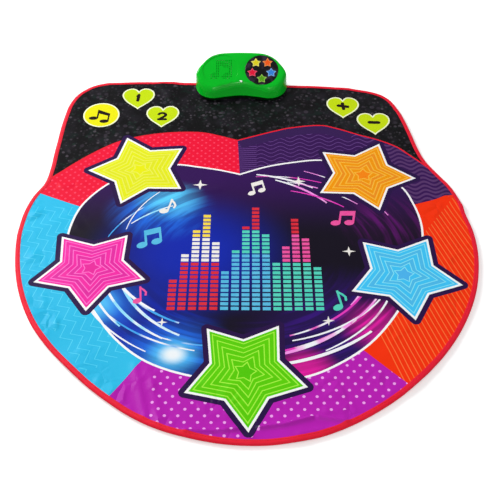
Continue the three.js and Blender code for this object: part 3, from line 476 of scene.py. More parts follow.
def strokeLoop(points, width, roundSteps=6):  # outline of a line with round ends
    path = np.array(points, float)
    runs = unit(np.diff(path, axis=0))
    ways = unit(np.vstack((runs[:1], (runs[:-1] + runs[1:]) / 2, runs[-1:])))
    side = -toRight(ways) * width / 2
    angles = np.linspace(0, math.pi, roundSteps + 1)[1:-1, None]
    endCap = path[-1] + side[-1] * np.cos(angles) + ways[-1] * np.sin(angles) * width / 2
    startCap = path[0] - side[0] * np.cos(angles) - ways[0] * np.sin(angles) * width / 2
    return np.vstack((path + side, endCap, (path - side)[::-1], startCap))


def ovalLoop(width, height, turn, count):
    angle = np.linspace(0, full, count, endpoint=False)
    return turned(np.column_stack((np.cos(angle) * width / 2, np.sin(angle) * height / 2)), turn)


def heartLoop(width, height, turn, count):
    angle = np.linspace(0, full, count, endpoint=False)
    rise = sum(term * np.cos((k + 1) * angle) for k, term in enumerate((13, -3.6, -2, -0.5)))
    up = (rise - (rise.min() + rise.max()) / 2) / (rise.max() - rise.min()) * height
    loop = evenly(turnLeft(np.column_stack((np.sin(angle) ** 3 * width / 2, up))), count)
    return turned((np.roll(loop, 1, 0) + 2 * loop + np.roll(loop, -1, 0)) / 4, turn)


def shrunk(loop, distance):  # the closed line moved inwards, without the stretches that would cross
    moved = growLoop(loop, -distance)
    return moved[reachTo(moved, loop)[0] > distance * 0.97]


def stripOf(line, width):  # outline of the strip on the right of an open line
    moved = line + toRight(unit(np.gradient(line, axis=0))) * width
    return np.vstack((line, moved[::-1]))


def boxLoop(x0, y0, x1, y1):
    return np.array(((x0, y0), (x1, y0), (x1, y1), (x0, y1)), float)


def inside(points, loop):
    x, y = points.T
    found = np.zeros(len(points), bool)
    for (x0, y0), (x1, y1) in zip(loop, np.roll(loop, -1, 0)):
        if y0 != y1:
            found ^= ((y0 > y) != (y1 > y)) & (x < (x1 - x0) * (y - y0) / (y1 - y0) + x0)
    return found


def reachTo(points, loop, closed=True):  # distance to a line, and how far along it the nearest place is
    best, along, run = np.full(len(points), 1e9), np.zeros(len(points)), 0.0
    ends = np.roll(loop, -1, 0) if closed else loop[1:]
    for start, end in zip(loop, ends):
        way = end - start
        length = np.linalg.norm(way)
        share = np.clip(((points - start) @ way) / max(length ** 2, 1e-12), 0, 1)
        gap = np.linalg.norm(points - start - share[:, None] * way, axis=1)
        nearer = gap < best
        best[nearer], along[nearer] = gap[nearer], run + share[nearer] * length
        run += length
    return best, along


def toPart(flat, height):  # places on the mat to the frame, in metres
    flat = np.asarray(flat, float)
    heights = np.broadcast_to(height, len(flat)) * mm
    return np.column_stack((flat[:, 0] * mm + matMiddle.x, flat[:, 1] * mm + matMiddle.y, heights))


def cornersOf(node, height):  # corners of a flat node at one height, counted round its middle
    points = np.array([v.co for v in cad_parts[node].data.vertices])
    level = points[abs(points[:, 2] / mm - height) < touch]
    flat = np.unique(np.round((level[:, :2] - matMiddle[:2]) / mm, 3), axis=0)
    away = flat - flat.mean(0)
    return flat[np.argsort(np.arctan2(away[:, 1], away[:, 0]))]


def middleOf(node):
    low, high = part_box(node)
    return np.array(((low + high) / 2 - matMiddle)[:2]) / mm


# How the laid mat lies: gentle waves, folds near the edge and a few creases

lie = {
    "wave": ((290, 1.8), (120, 0.9)), "hollow": 0.15,  # size and height, and how far the hollows are filled
    "edge": (60, 2.4, 85),  # reach inwards, height, length of a wave along the edge
    "puff": (9, 0.9),  # crest of the padding inside the tape, and its height
    "boxRoom": (28, 60),  # flat out to here around the control box, then free
    "creases": (  # points along it, height, half width
        (((-200, 470), (-165, 400)), 2.6, 12),
        (((-330, 478), (-290, 420)), 1.6, 16),
        (((-300, 585), (-232, 530)), 2.2, 12),
        (((-96, -458), (-54, -460), (-14, -455)), 4.6, 4),
        (((24, -452), (64, -447), (110, -433)), 5.4, 4),
        (((122, -432), (166, -441)), 4.4, 5),
        (((88, -463), (118, -456), (150, -453)), 1.6, 5),
        (((-190, -330), (-165, -430)), 2.4, 8),
        (((-160, -350), (-140, -440)), 2.0, 9),
        (((440, 62), (400, 96)), 4.6, 12),
        (((-445, -20), (-380, 15)), 1.6, 18),
        (((-130, 98), (-60, 112)), 1.6, 11),
        (((330, -330), (250, -300)), 1.7, 16),
        (((240, 470), (230, 420)), 1.5, 16),
    ),
    "creaseReach": 2.2,  # in half widths
    "outermost": 1.0,  # height of the outermost corner of the folded tape
}
creases = [(np.array(run, float), height, half) for run, height, half in lie["creases"]]
matLoop = turnLeft(evenly(spline(cornersOf("edge_binding", lie["outermost"]), 6, True), 480))
boxCorners = [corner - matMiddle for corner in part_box("base_shell")]
boxFootprint = boxLoop(*(corner[axis] / mm for corner in boxCorners for axis in (0, 1)))


def ease(value, low, high):
    share = np.clip((value - low) / (high - low), 0, 1)
    return share * share * (3 - 2 * share)


def liftAt(flat):  # how far the mat stands off the floor at each place
    lift = np.zeros(len(flat))
    for size, height in lie["wave"]:
        waves = np.array([noise.noise(Vector((x / size, y / size, size))) for x, y in flat])
        lift += np.clip(waves + lie["hollow"], 0, 1) * height
    reach, height, length = lie["edge"]
    gap, along = reachTo(flat, matLoop)
    pucker = np.array([noise.noise(Vector((run / length, 3.0, 0.0))) for run in along])
    lift += np.clip(pucker * 2, 0, 1) * height * np.exp(-(gap / reach) ** 2)
    crest, puff = lie["puff"]
    lift += puff * gap / crest * np.exp(1 - gap / crest)
    for run, high, half in creases:
        away, _ = reachTo(flat, run, False)
        lift += high / (1 + (away / half) ** 2) ** 1.5
    near = np.where(inside(flat, boxFootprint), 0, reachTo(flat, boxFootprint)[0])
    return lift * ease(near, *lie["boxRoom"])


# Meshes

def addPiece(name, points, faces, materials, kinds=None, sharp=40, uv=None):
    mesh = bpy.data.meshes.new(name)
    mesh.from_pydata([tuple(point) for point in points], [], [tuple(face) for face in faces])
    for material in materials:
        mesh.materials.append(material)
    if kinds is not None:
        mesh.polygons.foreach_set("material_index", np.asarray(kinds, np.int32))
    mesh.polygons.foreach_set("use_smooth", np.ones(len(faces), bool))
    mesh.set_sharp_from_angle(angle=math.radians(sharp))
    if uv is not None:
        layer = mesh.uv_layers.new(name="OFBake")
        layer.data.foreach_set("uv", np.asarray(uv, np.float32).ravel())
    mesh.update()
    piece = bpy.data.objects.new(name, mesh)
    bpy.context.scene.collection.objects.link(piece)
    return piece


def gridIn(outline, spacing):  # staggered points inside a closed line
    low, high = outline.min(0), outline.max(0)
    rows = []
    for k, y in enumerate(np.arange(low[1], high[1], spacing * math.sqrt(3) / 2)):
        xs = np.arange(low[0] + spacing * (k % 2) / 2, high[0], spacing)
        rows.append(np.column_stack((xs, np.full(len(xs), y))))
    grid = np.vstack(rows)
    return grid[inside(grid, outline)]


def alongCreases(outline):  # closer points over each crease
    grids = []
    for run, _, half in creases:
        reach = lie["creaseReach"] * half
        fine = gridIn(boxLoop(*(run.min(0) - reach), *(run.max(0) + reach)), min(max(half / 2, 2), 5))
        grids.append(fine[reachTo(fine, run, False)[0] < reach])
    grid = np.vstack(grids)
    return grid[inside(grid, outline)]


def stepped(loop, step):  # the same closed line, its long sides cut up
    sides = []
    for start, end in zip(loop, np.roll(loop, -1, 0)):
        count = max(1, math.ceil(np.linalg.norm(end - start) / step))
        sides.append(start + (end - start) * (np.arange(count) / count)[:, None])
    return np.vstack(sides)


def filled(outline, holes, marks, spacing, crease=0):  # triangles between the loops, with even points inside
    loops = [outline, *holes, *marks]
    grid = []
    if crease:
        loops = [stepped(loop, crease) for loop in loops]
    if spacing:
        grid = gridIn(outline, spacing)
        if crease:
            clear = [reachTo(grid, run, False)[0] > lie["creaseReach"] * half for run, _, half in creases]
            grid = np.vstack((grid[np.all(clear, axis=0)], alongCreases(outline)))
        apart = (crease or spacing) * 0.45
        for loop in loops:
            grid = grid[reachTo(grid, loop)[0] > apart]
    corners = np.vstack((*loops, *([grid] if len(grid) else [])))
    edges, start = [], 0
    for loop in loops:
        count = len(loop)
        edges += [(start + k, start + (k + 1) % count) for k in range(count)]
        start += count
    found = delaunay_2d_cdt([Vector(corner) for corner in corners], edges, [], 0, 1e-4)
    points = np.array([(point.x, point.y) for point in found[0]])
    faces = np.array([face for face in found[2] if len(face) == 3])
    middles = points[faces].mean(1)
    keep = inside(middles, outline)
    for hole in holes:
        keep &= ~inside(middles, hole)
    faces = faces[keep]
    used, faces = np.unique(faces, return_inverse=True)
    points, faces = points[used], faces.reshape(-1, 3)
    a, b, c = (points[faces[:, k]] for k in range(3))
    flip = (b[:, 0] - a[:, 0]) * (c[:, 1] - a[:, 1]) - (b[:, 1] - a[:, 1]) * (c[:, 0] - a[:, 0]) < 0
    faces[flip] = faces[flip][:, ::-1]
    return points, faces


def rimOf(faces):  # edges that only one face has, in that face's order
    pairs = np.vstack((faces[:, (0, 1)], faces[:, (1, 2)], faces[:, (2, 0)]))
    seen = set(map(tuple, pairs.tolist()))
    return [(a, b) for a, b in pairs.tolist() if (b, a) not in seen]


bakeRoom = {"edge": 0.03, "small": 0.02, "wall": 0.004}  # shares of the print's square


def slab(name, outline, bottom, top, finishes, holes=(), regions=(), spacing=9, crease=5):
    marks = [loop for loops, _ in regions for loop in loops]
    flat, faces = filled(outline, holes, marks, spacing, crease)
    middles = flat[faces].mean(1)
    kinds = np.zeros(len(faces), int)
    for loops, kind in regions:
        for loop in loops:
            kinds[inside(middles, loop)] = kind
    lift = liftAt(flat)
    points = np.vstack((toPart(flat, top + lift), toPart(flat, bottom + lift)))
    count = len(flat)
    rim = rimOf(faces)
    walls = [(b, a, a + count, b + count) for a, b in rim]
    shapes = [*faces.tolist(), *(faces[:, ::-1] + count).tolist(), *walls]
    allKinds = [*kinds, *[0] * (len(faces) + len(walls))]
    share = (flat - flat.min(0)) / (flat.max(0) - flat.min(0)).max()
    topUv = share * (1 - 2 * bakeRoom["edge"]) + bakeRoom["edge"]
    backUv = share * bakeRoom["small"]
    lowered = backUv + bakeRoom["wall"]
    uv = [topUv[k] for face in faces.tolist() for k in face]
    uv += [backUv[k] for face in faces[:, ::-1].tolist() for k in face]
    uv += [spot for a, b in rim for spot in (backUv[b], backUv[a], lowered[a], lowered[b])]
    return addPiece(name, points, shapes, finishes, allKinds, uv=uv)


class Skin:  # points and faces gathered for one closed piece
    def __init__(self):
        self.points, self.faces, self.kinds = [], [], []

    def add(self, points, faces, kind=0):
        start = sum(len(group) for group in self.points)
        self.points.append(np.asarray(points, float))
        self.faces += [[start + corner for corner in face] for face in faces]
        self.kinds += [kind] * len(faces)

    def rings(self, rings, kind=0, outwards=True):
        around = len(rings[0])
        faces = [
            (k * around + i, k * around + (i + 1) % around,
             (k + 1) * around + (i + 1) % around, (k + 1) * around + i)
            for k in range(len(rings) - 1) for i in range(around)
        ]
        self.add(np.vstack(rings), faces if outwards else [face[::-1] for face in faces], kind)

    def deck(self, outline, holes, lift, up=True, spacing=0):
        flat, faces = filled(outline, holes, (), spacing)
        self.add(onDeck(flat, lift), faces.tolist() if up else faces[:, ::-1].tolist())

    def piece(self, name, materials, sharp=35):
        piece = addPiece(name, np.vstack(self.points), self.faces, materials, self.kinds, sharp)
        weld(piece, sharp)
        return piece


def weld(piece, sharp):
    mesh = bmesh.new()
    mesh.from_mesh(piece.data)
    bmesh.ops.remove_doubles(mesh, verts=mesh.verts, dist=2e-6)
    mesh.to_mesh(piece.data)
    mesh.free()
    piece.data.set_sharp_from_angle(angle=math.radians(sharp))


def areaOf(loop):
    x, y = loop.T
    return abs((x * np.roll(y, -1) - np.roll(x, -1) * y).sum()) / 2


def spanOf(loop):
    return (loop.max(0) - loop.min(0)) * mm


def laidSheet(piece, body, slot, outline, holes, restsOn, *stoodFor):
    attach(piece, body)
    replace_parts(piece, *stoodFor)
    area = (areaOf(outline) - sum(areaOf(hole) for hole in holes)) * mm * mm
    tuple(spanOf(outline))


# Print layout, in millimetres from the mat's middle

starNames = ("yellow", "orange", "pink", "blue", "green")
keyNames = ("note", "one", "two", "plus", "minus")


def levelsOf(node):
    return [round(corner.z / mm, 3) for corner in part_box(node)]


sheetBottom, sheetTop = levelsOf("printed_sheet")

layout = {
    "leftLobe": ((-475, 92), (-418, 140), (-360, 203), (-300, 255), (-262, 276), (-180, 297), (-100, 299),
                 (-62, 288), (-20, 272)),
    "rightLobe": ((-20, 272), (60, 303), (100, 316), (170, 324), (205, 312), (250, 291), (290, 275),
                  (330, 250), (352, 226), (380, 193), (445, 110)),
    "pictureEdge": ((-13, 157), (-55, 170), (-100, 180), (-150, 188), (-215, 176), (-285, 130), (-330, 70),
                    (-345, 20), (-348, -40), (-330, -120), (-275, -208), (-230, -270), (-170, -320),
                    (-90, -350), (0, -362), (100, -352), (160, -325), (220, -280), (275, -210), (322, -120),
                    (345, -30), (348, 20), (340, 70), (322, 120), (250, 185), (160, 203), (100, 195),
                    (40, 180), (-13, 157)),
    "pictureLine": 4.2, "redLine": 3.6, "plum": (30, 240),
    "splits": {  # from the picture's edge out past the mat's edge
        "top": ((-13, 150), (-20, 285)), "left": ((-330, 58), (-480, 122)), "right": ((335, 66), (480, 113)),
        "lowRight": ((195, -285), (310, -403)), "lowLeft": ((-165, -298), (-240, -413)),
    },
    "centre": (0, -80), "far": 560,
    "starRing": 9.8, "ringSteps": 5, "slit": 0.4,
}


def ahead(split, far):  # a point far out on a split line
    start, end = (np.array(point, float) for point in layout["splits"][split])
    way = (end - start) / np.linalg.norm(end - start)
    return start + way * far


def panel(first, second, *between):  # wedge from one split line to the next, counted to the left
    starts = [np.array(layout["splits"][split][0], float) for split in (first, second)]
    far = layout["far"]
    return np.array((starts[0], ahead(first, far), *between, ahead(second, far), starts[1], layout["centre"]))


leftLobe, rightLobe = (spline(layout[side], 8) for side in ("leftLobe", "rightLobe"))
far = layout["far"]
lobeLine = np.vstack((leftLobe, rightLobe[1:]))
headerLoop = np.vstack((lobeLine, [(far, 0), (far, far), (-far, far), (-far, 0)]))[::-1]
plumWidth, plumEnd = layout["plum"]
redLineLoop = stripOf(lobeLine, layout["redLine"])
plumLoop = stripOf(rightLobe[rightLobe[:, 0] < plumEnd], plumWidth)
pictureLoop = turnLeft(spline(layout["pictureEdge"], 6)[:-1])
pictureFrame = growLoop(pictureLoop, layout["pictureLine"])
panels = {
    "red": panel("top", "left", (-far, far)), "cyan": panel("left", "lowLeft", (-far, -far)),
    "magenta": panel("lowLeft", "lowRight"), "orange": panel("lowRight", "right", (far, -far)),
    "purple": panel("right", "top", (far, far)),
}

starLoops = {name: cornersOf(f"star_pad_{name}", sheetTop) for name in starNames}
starRings = [growLoop(loop, layout["starRing"], layout["ringSteps"]) for loop in starLoops.values()]

keys = {
    "steps": 96, "heart": (75, 78), "oval": (82, 87),
    "turn": {"note": 12, "one": 2, "two": 0, "plus": -3, "minus": 0},
}


def keyOutline(name):
    middle = middleOf(f"key_pad_{name}")
    if name == "note":  # an oval, round to the right
        return ovalLoop(*keys["oval"], keys["turn"][name], keys["steps"]) + middle
    loop = heartLoop(*keys["heart"], keys["turn"][name], keys["steps"])
    return loop - (loop.min(0) + loop.max(0)) / 2 + middle


keyLoops = {name: keyOutline(name) for name in keyNames}


def beamedNote(size, turn=0):  # two heads, two stems and a slanted beam, about its middle
    head = ovalLoop(0.42, 0.3, 20, 24)
    shapes = [
        head + (-0.29, -0.36), head + (0.27, -0.24),
        boxLoop(-0.18, -0.36, -0.09, 0.3), boxLoop(0.38, -0.24, 0.47, 0.42),
        np.array(((-0.18, 0.1), (0.47, 0.22), (0.47, 0.5), (-0.18, 0.38))),
    ]
    return [turned(shape, turn, size) for shape in shapes]


def quaver(size, turn=0):
    shapes = [
        ovalLoop(0.42, 0.3, 20, 20) + (-0.12, -0.36), boxLoop(0, -0.36, 0.09, 0.5),
        strokeLoop(((0.04, 0.42), (0.2, 0.27), (0.3, 0.12), (0.28, -0.04)), 0.1),
    ]
    return [turned(shape, turn, size) for shape in shapes]


def sparkle(size):
    angle = np.linspace(0, full, 8, endpoint=False)
    reach = np.where(np.arange(8) % 2, 0.14, 0.5)
    return [np.column_stack((np.cos(angle) * reach, np.sin(angle) * reach)) * size]


equaliser = {
    "rows": (7, 13, 19, 23, 16, 9, 14, 20, 25, 18, 11, 15, 22, 17, 10),
    "pitch": 19.5, "block": (14.5, 7.6), "step": 10.8, "foot": -208, "group": 5,
    "inks": (  # from the foot up, with the share of the full height where each starts
        ((0, "scarlet_mark"), (0.42, "cream_mark"), (0.68, "yellow_mark")),
        ((0, "sky_mark"), (0.5, "teal_mark"), (0.74, "scarlet_mark")),
        ((0, "teal_mark"), (0.44, "pink_mark"), (0.7, "scarlet_mark")),
    ),
}
floating = (  # shape, place, ink
    (beamedNote(52, 8), (-190, -26), "sky_mark"), (beamedNote(48, -10), (196, 30), "pink_mark"),
    (quaver(44, -12), (-158, 62), "cream_mark"), (quaver(46, 10), (172, -184), "teal_mark"),
    (quaver(40, 6), (-196, -172), "pink_mark"), (beamedNote(40, 12), (20, 118), "cream_mark"),
    (sparkle(32), (-96, 126), "cream_mark"), (sparkle(26), (200, -62), "cream_mark"),
    (sparkle(24), (-232, -118), "cream_mark"), (sparkle(30), (110, 138), "cream_mark"),
    (sparkle(20), (-150, -236), "cream_mark"), (sparkle(22), (150, -232), "cream_mark"),
)


trails = {
    "seed": 8, "steps": 22, "taper": 0.22,
    "groups": (  # how many, from and to angle, half turn, reach, greatest width
        (8, (188, 262), (16, 32), (0.68, 0.95), 6.6), (8, (280, 352), (16, 32), (0.68, 0.95), 6.6),
        (6, (10, 80), (10, 26), (0.68, 0.91), 5.2), (3, (118, 165), (8, 18), (0.62, 0.86), 4.4),
    ),
    "slip": (-0.13, 0.13), "overrun": 6,
    "inks": ("trail_pale", "trail", "trail_white", "trail_pale", "trail"),
}


def trailLoop(reach, slip, start, end, width):  # arc round the picture, thin at its ends
    share = np.linspace(0, 1, trails["steps"])
    angle = np.radians(start + (end - start) * share)
    way = np.column_stack((np.cos(angle), np.sin(angle)))
    half = width / 2 * np.clip(np.sin(math.pi * np.clip(share, 0.05, 0.95)), 0, 1) ** trails["taper"]
    line = way * (reach + slip * share)[:, None] * picture["half"] + picture["middle"]
    side = way * half[:, None]
    return np.vstack((line + side, (line - side)[::-1]))


def trailLoops():
    chance = np.random.default_rng(trails["seed"])
    found = []
    for count, (low, high), (short, long), (near, far), width in trails["groups"]:
        for k in range(count):
            middle, half = chance.uniform(low, high), chance.uniform(short, long)
            start = max(middle - half, low - trails["overrun"])
            end = min(middle + half, high + trails["overrun"])
            reach = near + (far - near) * (k + chance.uniform(0, 0.8)) / count
            slip = np.clip(chance.uniform(*trails["slip"]), near - reach, far - reach)
            loop = trailLoop(reach, slip, start, end, chance.uniform(0.5, 1) * width)
            found.append(([loop], trails["inks"][k % len(trails["inks"])]))
    return found


def equaliserBlocks():
    rows, (wide, tall) = equaliser["rows"], equaliser["block"]
    blocks = {}
    for column, count in enumerate(rows):
        x = (column - (len(rows) - 1) / 2) * equaliser["pitch"]
        for row in range(count):
            share = row / max(rows)
            inks = [ink for start, ink in equaliser["inks"][column // equaliser["group"]] if share >= start]
            y = equaliser["foot"] + row * equaliser["step"]
            blocks.setdefault(inks[-1], []).append(boxLoop(x - wide / 2, y, x + wide / 2, y + tall))
    return [(loops, ink) for ink, loops in blocks.items()]


prints = [  # later ones lie over the earlier
    *(([loop], name) for name, loop in panels.items()),
    ([plumLoop], "plum"), ([headerLoop], "header"), ([redLineLoop], "red_line"),
    ([pictureFrame], "white"), ([pictureLoop], "picture"),
    *trailLoops(), *equaliserBlocks(),
    *(([part + place for part in shape], ink) for shape, place, ink in floating),
    (starRings, "ring"),
]
printRegions = [(loops, inkNames.index(ink)) for loops, ink in prints]
print("print laid out:", sum(len(loops) for loops, _ in printRegions), "shapes")


# Mat layers

layers = {"edgeGap": 1.9, "tapeReach": 10.3, "pocketGap": 0.3, "slotGap": 0.8, "screwHole": 1.8}


def aroundNode(node, gap):
    low, high = (((corner - matMiddle) / mm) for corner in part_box(node))
    return boxLoop(low.x - gap, low.y - gap, high.x + gap, high.y + gap)


def screwHoles():
    hole = ovalLoop(2 * layers["screwHole"], 2 * layers["screwHole"], 0, 16)
    return [hole + middleOf(f"case_screw_front_{side}") for side in ("left", "right")]


sheetLoop = growLoop(matLoop, -layers["edgeGap"])
backingLoop = growLoop(matLoop, -layers["tapeReach"])
padHoles = [growLoop(loop, layout["slit"]) for loop in (*starLoops.values(), *keyLoops.values())]
ribbonHole = aroundNode("ribbon_tail", layers["slotGap"])
clampPocket = aroundNode("clamp_plate", layers["pocketGap"])


# Finishes of the other materials

def backingCloth():  # dark woven underside with grip dots
    finish = Finish("backing_cloth")
    place = finish.place()
    x, y, _ = finish.split(place)
    weave = finish.weave(x, y, 0.9)
    tone = finish.tones(finish.cloud(place, 25, 3), (34, 34, 38), (52, 51, 56))
    dot = finish.cells(place, 6, jitter=0.15).smooth(0.24, 0.18)
    ink = finish.mix(dot, tone, colourOf(20, 20, 22))
    relief = finish.bump(weave * 0.3 + dot, 0.35)
    return finish.surface(Base_Color=ink, Roughness=0.9 - dot * 0.35, Normal=relief)


def foamSheet():
    finish = Finish("foam")
    place = finish.place()
    cell = finish.cells(place, 0.9)
    ink = finish.tones(cell.smooth(0.1, 0.7), (224, 222, 214), (246, 245, 240))
    return finish.surface(Base_Color=ink, Roughness=0.95, Normal=finish.bump(cell, 0.25))


def contactFilm():  # clear film with printed lines
    finish = Finish("contact_film")
    place = finish.place()
    x, y, _ = finish.split(place)
    ink = finish.tones(x.folded(9).within(0.8, 0.3), (205, 209, 204), (70, 72, 76))
    return finish.surface(Base_Color=ink, Roughness=0.35 + finish.cloud(place, 30) * 0.1)


def grained(name, size, detail, dark, light, roughness, spread, depth):  # fine specks all over
    finish = Finish(name)
    grain = finish.cloud(finish.place(), size, detail)
    rough = grain * spread + roughness if spread else roughness
    ink, relief = finish.tones(grain, dark, light), finish.bump(grain, depth)
    return finish.surface(Base_Color=ink, Roughness=rough, Normal=relief)


def wovenTape():  # red binding tape
    finish = Finish("binding_tape")
    place = finish.place()
    x, y, _ = finish.split(place)
    ribs = finish.weave(x, y, 1.1)
    tone = finish.tones(finish.cloud(place, 30, 4), (236, 8, 44), (255, 24, 58))
    ink = finish.mix(ribs.smooth(0.2, 0.9) * 0.2, tone, colourOf(255, 76, 96))
    relief = finish.bump(ribs, 0.06, finish.bump(finish.cloud(place, 9, 3), 0.3))
    rough = 0.48 + finish.cloud(place, 20) * 0.14
    return finish.surface(Base_Color=ink, Roughness=rough, Normal=relief, Specular_IOR_Level=0.2)


def moulded(name, dark, light, roughness, depth=0.01, gloss=0.3, shade=None):  # plastic, faint grain, and painted shade where a shade mask is given
    finish = Finish(name)
    place = finish.place()
    tone = colourOf(*dark) if dark == light else finish.tones(finish.cloud(place, 45, 3), dark, light)
    # painted shade: the tone is mixed towards the shade colour where the mask says
    if shade:
        tone = finish.mix(shade(*finish.split(place)), tone, baseShade["colour"])
    scuff = finish.cloud(place, 3.5, 5, 0.7).smooth(0.62, 0.8)
    rough = roughness + finish.cloud(place, 22, 3) * 0.06 + scuff * 0.1
    grain = finish.bump(finish.cloud(place, 0.7, 2), depth)
    relief = finish.bump(finish.cloud(place, 38, 1), 0.12, grain)
    return finish.surface(Base_Color=tone, Roughness=rough, Normal=relief, Specular_IOR_Level=gloss)


# painted shade under the base's lip: its colour, the height where it fades out, how tall that fade is, and
# the distances from the mat's far edge over which it fades out towards the rear
baseShade = {"colour": colourOf(0, 44, 10), "top": 13.9, "soft": 0.5, "clear": (-45, -8)}


def underLipPaintedShade(x, y, z):  # painted shade on the drawn-in foot of the base, darker in front, where it curves under
    low, high = baseShade["clear"]
    front = (y - (matHigh - matMiddle).y / mm).smooth(high, low)
    return z.smooth(baseShade["top"], baseShade["top"] - baseShade["soft"]) * front


def smokedWindow():
    finish = Finish("window")
    place = finish.place()
    tone = finish.tones(finish.cloud(place, 15, 2).smooth(0.44, 0.66), (14, 12, 16), (54, 40, 58))
    dust = finish.cloud(place, 1.2, 4).smooth(0.6, 0.8)
    return finish.surface(Base_Color=tone, Roughness=0.1 + dust * 0.12, Specular_IOR_Level=0.25)


def metal(name, dark, light, roughness):
    finish = Finish(name)
    place = finish.place()
    x, y, z = finish.split(place)
    brushed = finish.cloud(finish.join(x * 0.15, y * 3, z * 3), 1.0, 3)
    tone = finish.tones(brushed, dark, light)
    return finish.surface(Base_Color=tone, Metallic=1.0, Roughness=roughness + brushed * 0.15,
                          Normal=finish.bump(brushed, 0.02))


def boardFinish():
    finish = Finish("circuit_board")
    place = finish.place()
    x, y, _ = finish.split(place)
    track = (x + y).folded(3).within(0.35, 0.2) * finish.cloud(place, 8, 1).smooth(0.5, 0.55)
    ink = finish.tones(track, (24, 92, 48), (70, 140, 80))
    return finish.surface(Base_Color=ink, Roughness=0.45 + track * 0.1, Normal=finish.bump(track, 0.05))


cellBand = {"middle": -12.6, "from": 38, "colour": colourOf(206, 150, 52)}


def cellWrap():  # battery sleeve: a dark body with a gold band at one end
    finish = Finish("battery_cell")
    place = finish.place()
    x, _, _ = finish.split(place)
    band = abs(x - cellBand["middle"]) > cellBand["from"]
    wrap = finish.tones(finish.cloud(place, 14), (30, 30, 34), (44, 44, 48))
    ink = finish.mix(band, wrap, cellBand["colour"])
    return finish.surface(Base_Color=ink, Roughness=0.3, Metallic=band * 0.6)


starColours = {  # fill, line, every other band, middle
    "yellow": ((230, 236, 20), (238, 241, 88), (227, 232, 34), (236, 238, 10)),
    "orange": ((248, 154, 4), (255, 190, 60), (244, 147, 28), (254, 138, 14)),
    "pink": ((246, 42, 166), (255, 116, 208), (230, 42, 162), (236, 40, 158)),
    "blue": ((64, 200, 252), (134, 232, 255), (78, 192, 242), (78, 186, 246)),
    "green": ((92, 210, 0), (172, 250, 70), (96, 214, 0), (84, 206, 0)),
}
finishOf = {
    "backing": backingCloth(), "film": contactFilm(), "foam": foamSheet(),
    "carbon": grained("carbon", 0.8, 3, (20, 20, 22), (38, 38, 41), 0.6, 0.25, 0.05),
    "binding": wovenTape(),
    "thread": grained("binding_thread", 0.4, 2, (186, 8, 28), (226, 30, 48), 0.6, 0, 0.08),
    "shell": moulded("shell_green", (0, 186, 34), (2, 200, 42), 0.16, gloss=0.16),
    # the base's green, with painted shade under its lip
    "base": moulded("base_green", (5, 178, 32), (14, 194, 46), 0.28, gloss=0.16, shade=underLipPaintedShade),
    "window": smokedWindow(), "board": boardFinish(), "cell": cellWrap(),
    "cone": grained("speaker_cone", 1.4, 4, (22, 22, 24), (42, 42, 44), 0.85, 0, 0.1),
    "pilot": moulded("pilot_lens", (238, 246, 238), (252, 255, 252), 0.1, gloss=0.5),
    "steel": metal("steel", (170, 172, 176), (205, 207, 210), 0.28),
    "magnet": metal("magnet", (58, 58, 62), (84, 84, 88), 0.5),
    "rubber": moulded("rubber", (26, 26, 28), (42, 42, 44), 0.8, 0.05),
    "knob": moulded("switch_black", (22, 22, 24), (36, 36, 38), 0.45, 0.03),
}
keyInks = [
    printed("key_lime", plain(200, 226, 10)), printed("key_rim", plain(248, 252, 214)),
    printed("key_mark", plain(30, 16, 14)), printed("key_yellow", plain(238, 234, 8)),
]


# Soft layers of the mat

printPiece = slab(
    "printed_vinyl", sheetLoop, sheetBottom, sheetTop, [printInks[name] for name in inkNames],
    (*padHoles, ribbonHole, *screwHoles()), printRegions, 9,
)
laidSheet(printPiece, "mat", "print", sheetLoop, padHoles, ["foam_layer"], "printed_sheet")
print("printed sheet:", len(printPiece.data.polygons), "faces")

laid = {"spacing": 14, "crease": 7}
foamHoles = (*padHoles, ribbonHole, *screwHoles())
foamPiece = slab("foam_layer", sheetLoop, *levelsOf("foam_spacer"), [finishOf["foam"]], foamHoles, **laid)
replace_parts(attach(foamPiece, "mat"), "foam_spacer")
filmLevels, backingLevels = levelsOf("circuit_film"), levelsOf("backing_sheet")
filmPiece = slab("contact_film", sheetLoop, *filmLevels, [finishOf["film"]], screwHoles(), **laid)
laidSheet(filmPiece, "mat", "film", sheetLoop, (), ["backing_cloth"], "circuit_film")
backing = slab("backing_cloth", backingLoop, *backingLevels, [finishOf["backing"]], (clampPocket,), **laid)
laidSheet(backing, "mat", "backing", backingLoop, (clampPocket,), [], "backing_sheet")


def carbonLayer(kind, name):
    node = f"{kind}_contact_{name}"
    loop = cornersOf(node, sheetBottom)
    piece = slab(f"{kind}_carbon_{name}", loop, *levelsOf(node), [finishOf["carbon"]], spacing=12)
    laidSheet(piece, f"{kind}_{name}", "carbon", loop, (), [f"{kind}_{name}"], node)


nest = {
    "rim": 4.3, "line": {"orange": 2.6, "yellow": 2.4},
    "shares": (0.915, 0.765, 0.615, 0.465, 0.32, 0.19), "turns": (0, 0.5, 1.5, 3.5, 6.5, 21),
}


def starPad(name):
    loop = starLoops[name]
    middle = loop.mean(0)
    inner = growLoop(loop, -nest["rim"])
    regions = [([inner], 1)]
    half = nest["line"].get(name, 1.9) / 2
    for k, (share, turn) in enumerate(zip(nest["shares"], nest["turns"])):
        star = turned(inner - middle, turn, share) + middle
        ground = 4 if k == len(nest["shares"]) - 1 else 3 if k % 2 else 1
        regions += [([growLoop(star, half)], 2), ([growLoop(star, -half)], ground)]
    parts = zip(("fill", "line", "band", "heart"), starColours[name])
    inks = [printInks["white"], *(printed(f"star_{name}_{part}", plain(*colour)) for part, colour in parts)]
    piece = slab(f"star_{name}", loop, sheetBottom, sheetTop, inks, regions=regions, spacing=9)
    laidSheet(piece, f"star_{name}", f"star_{name}", loop, (), ["foam_layer"], f"star_pad_{name}")
    carbonLayer("star", name)


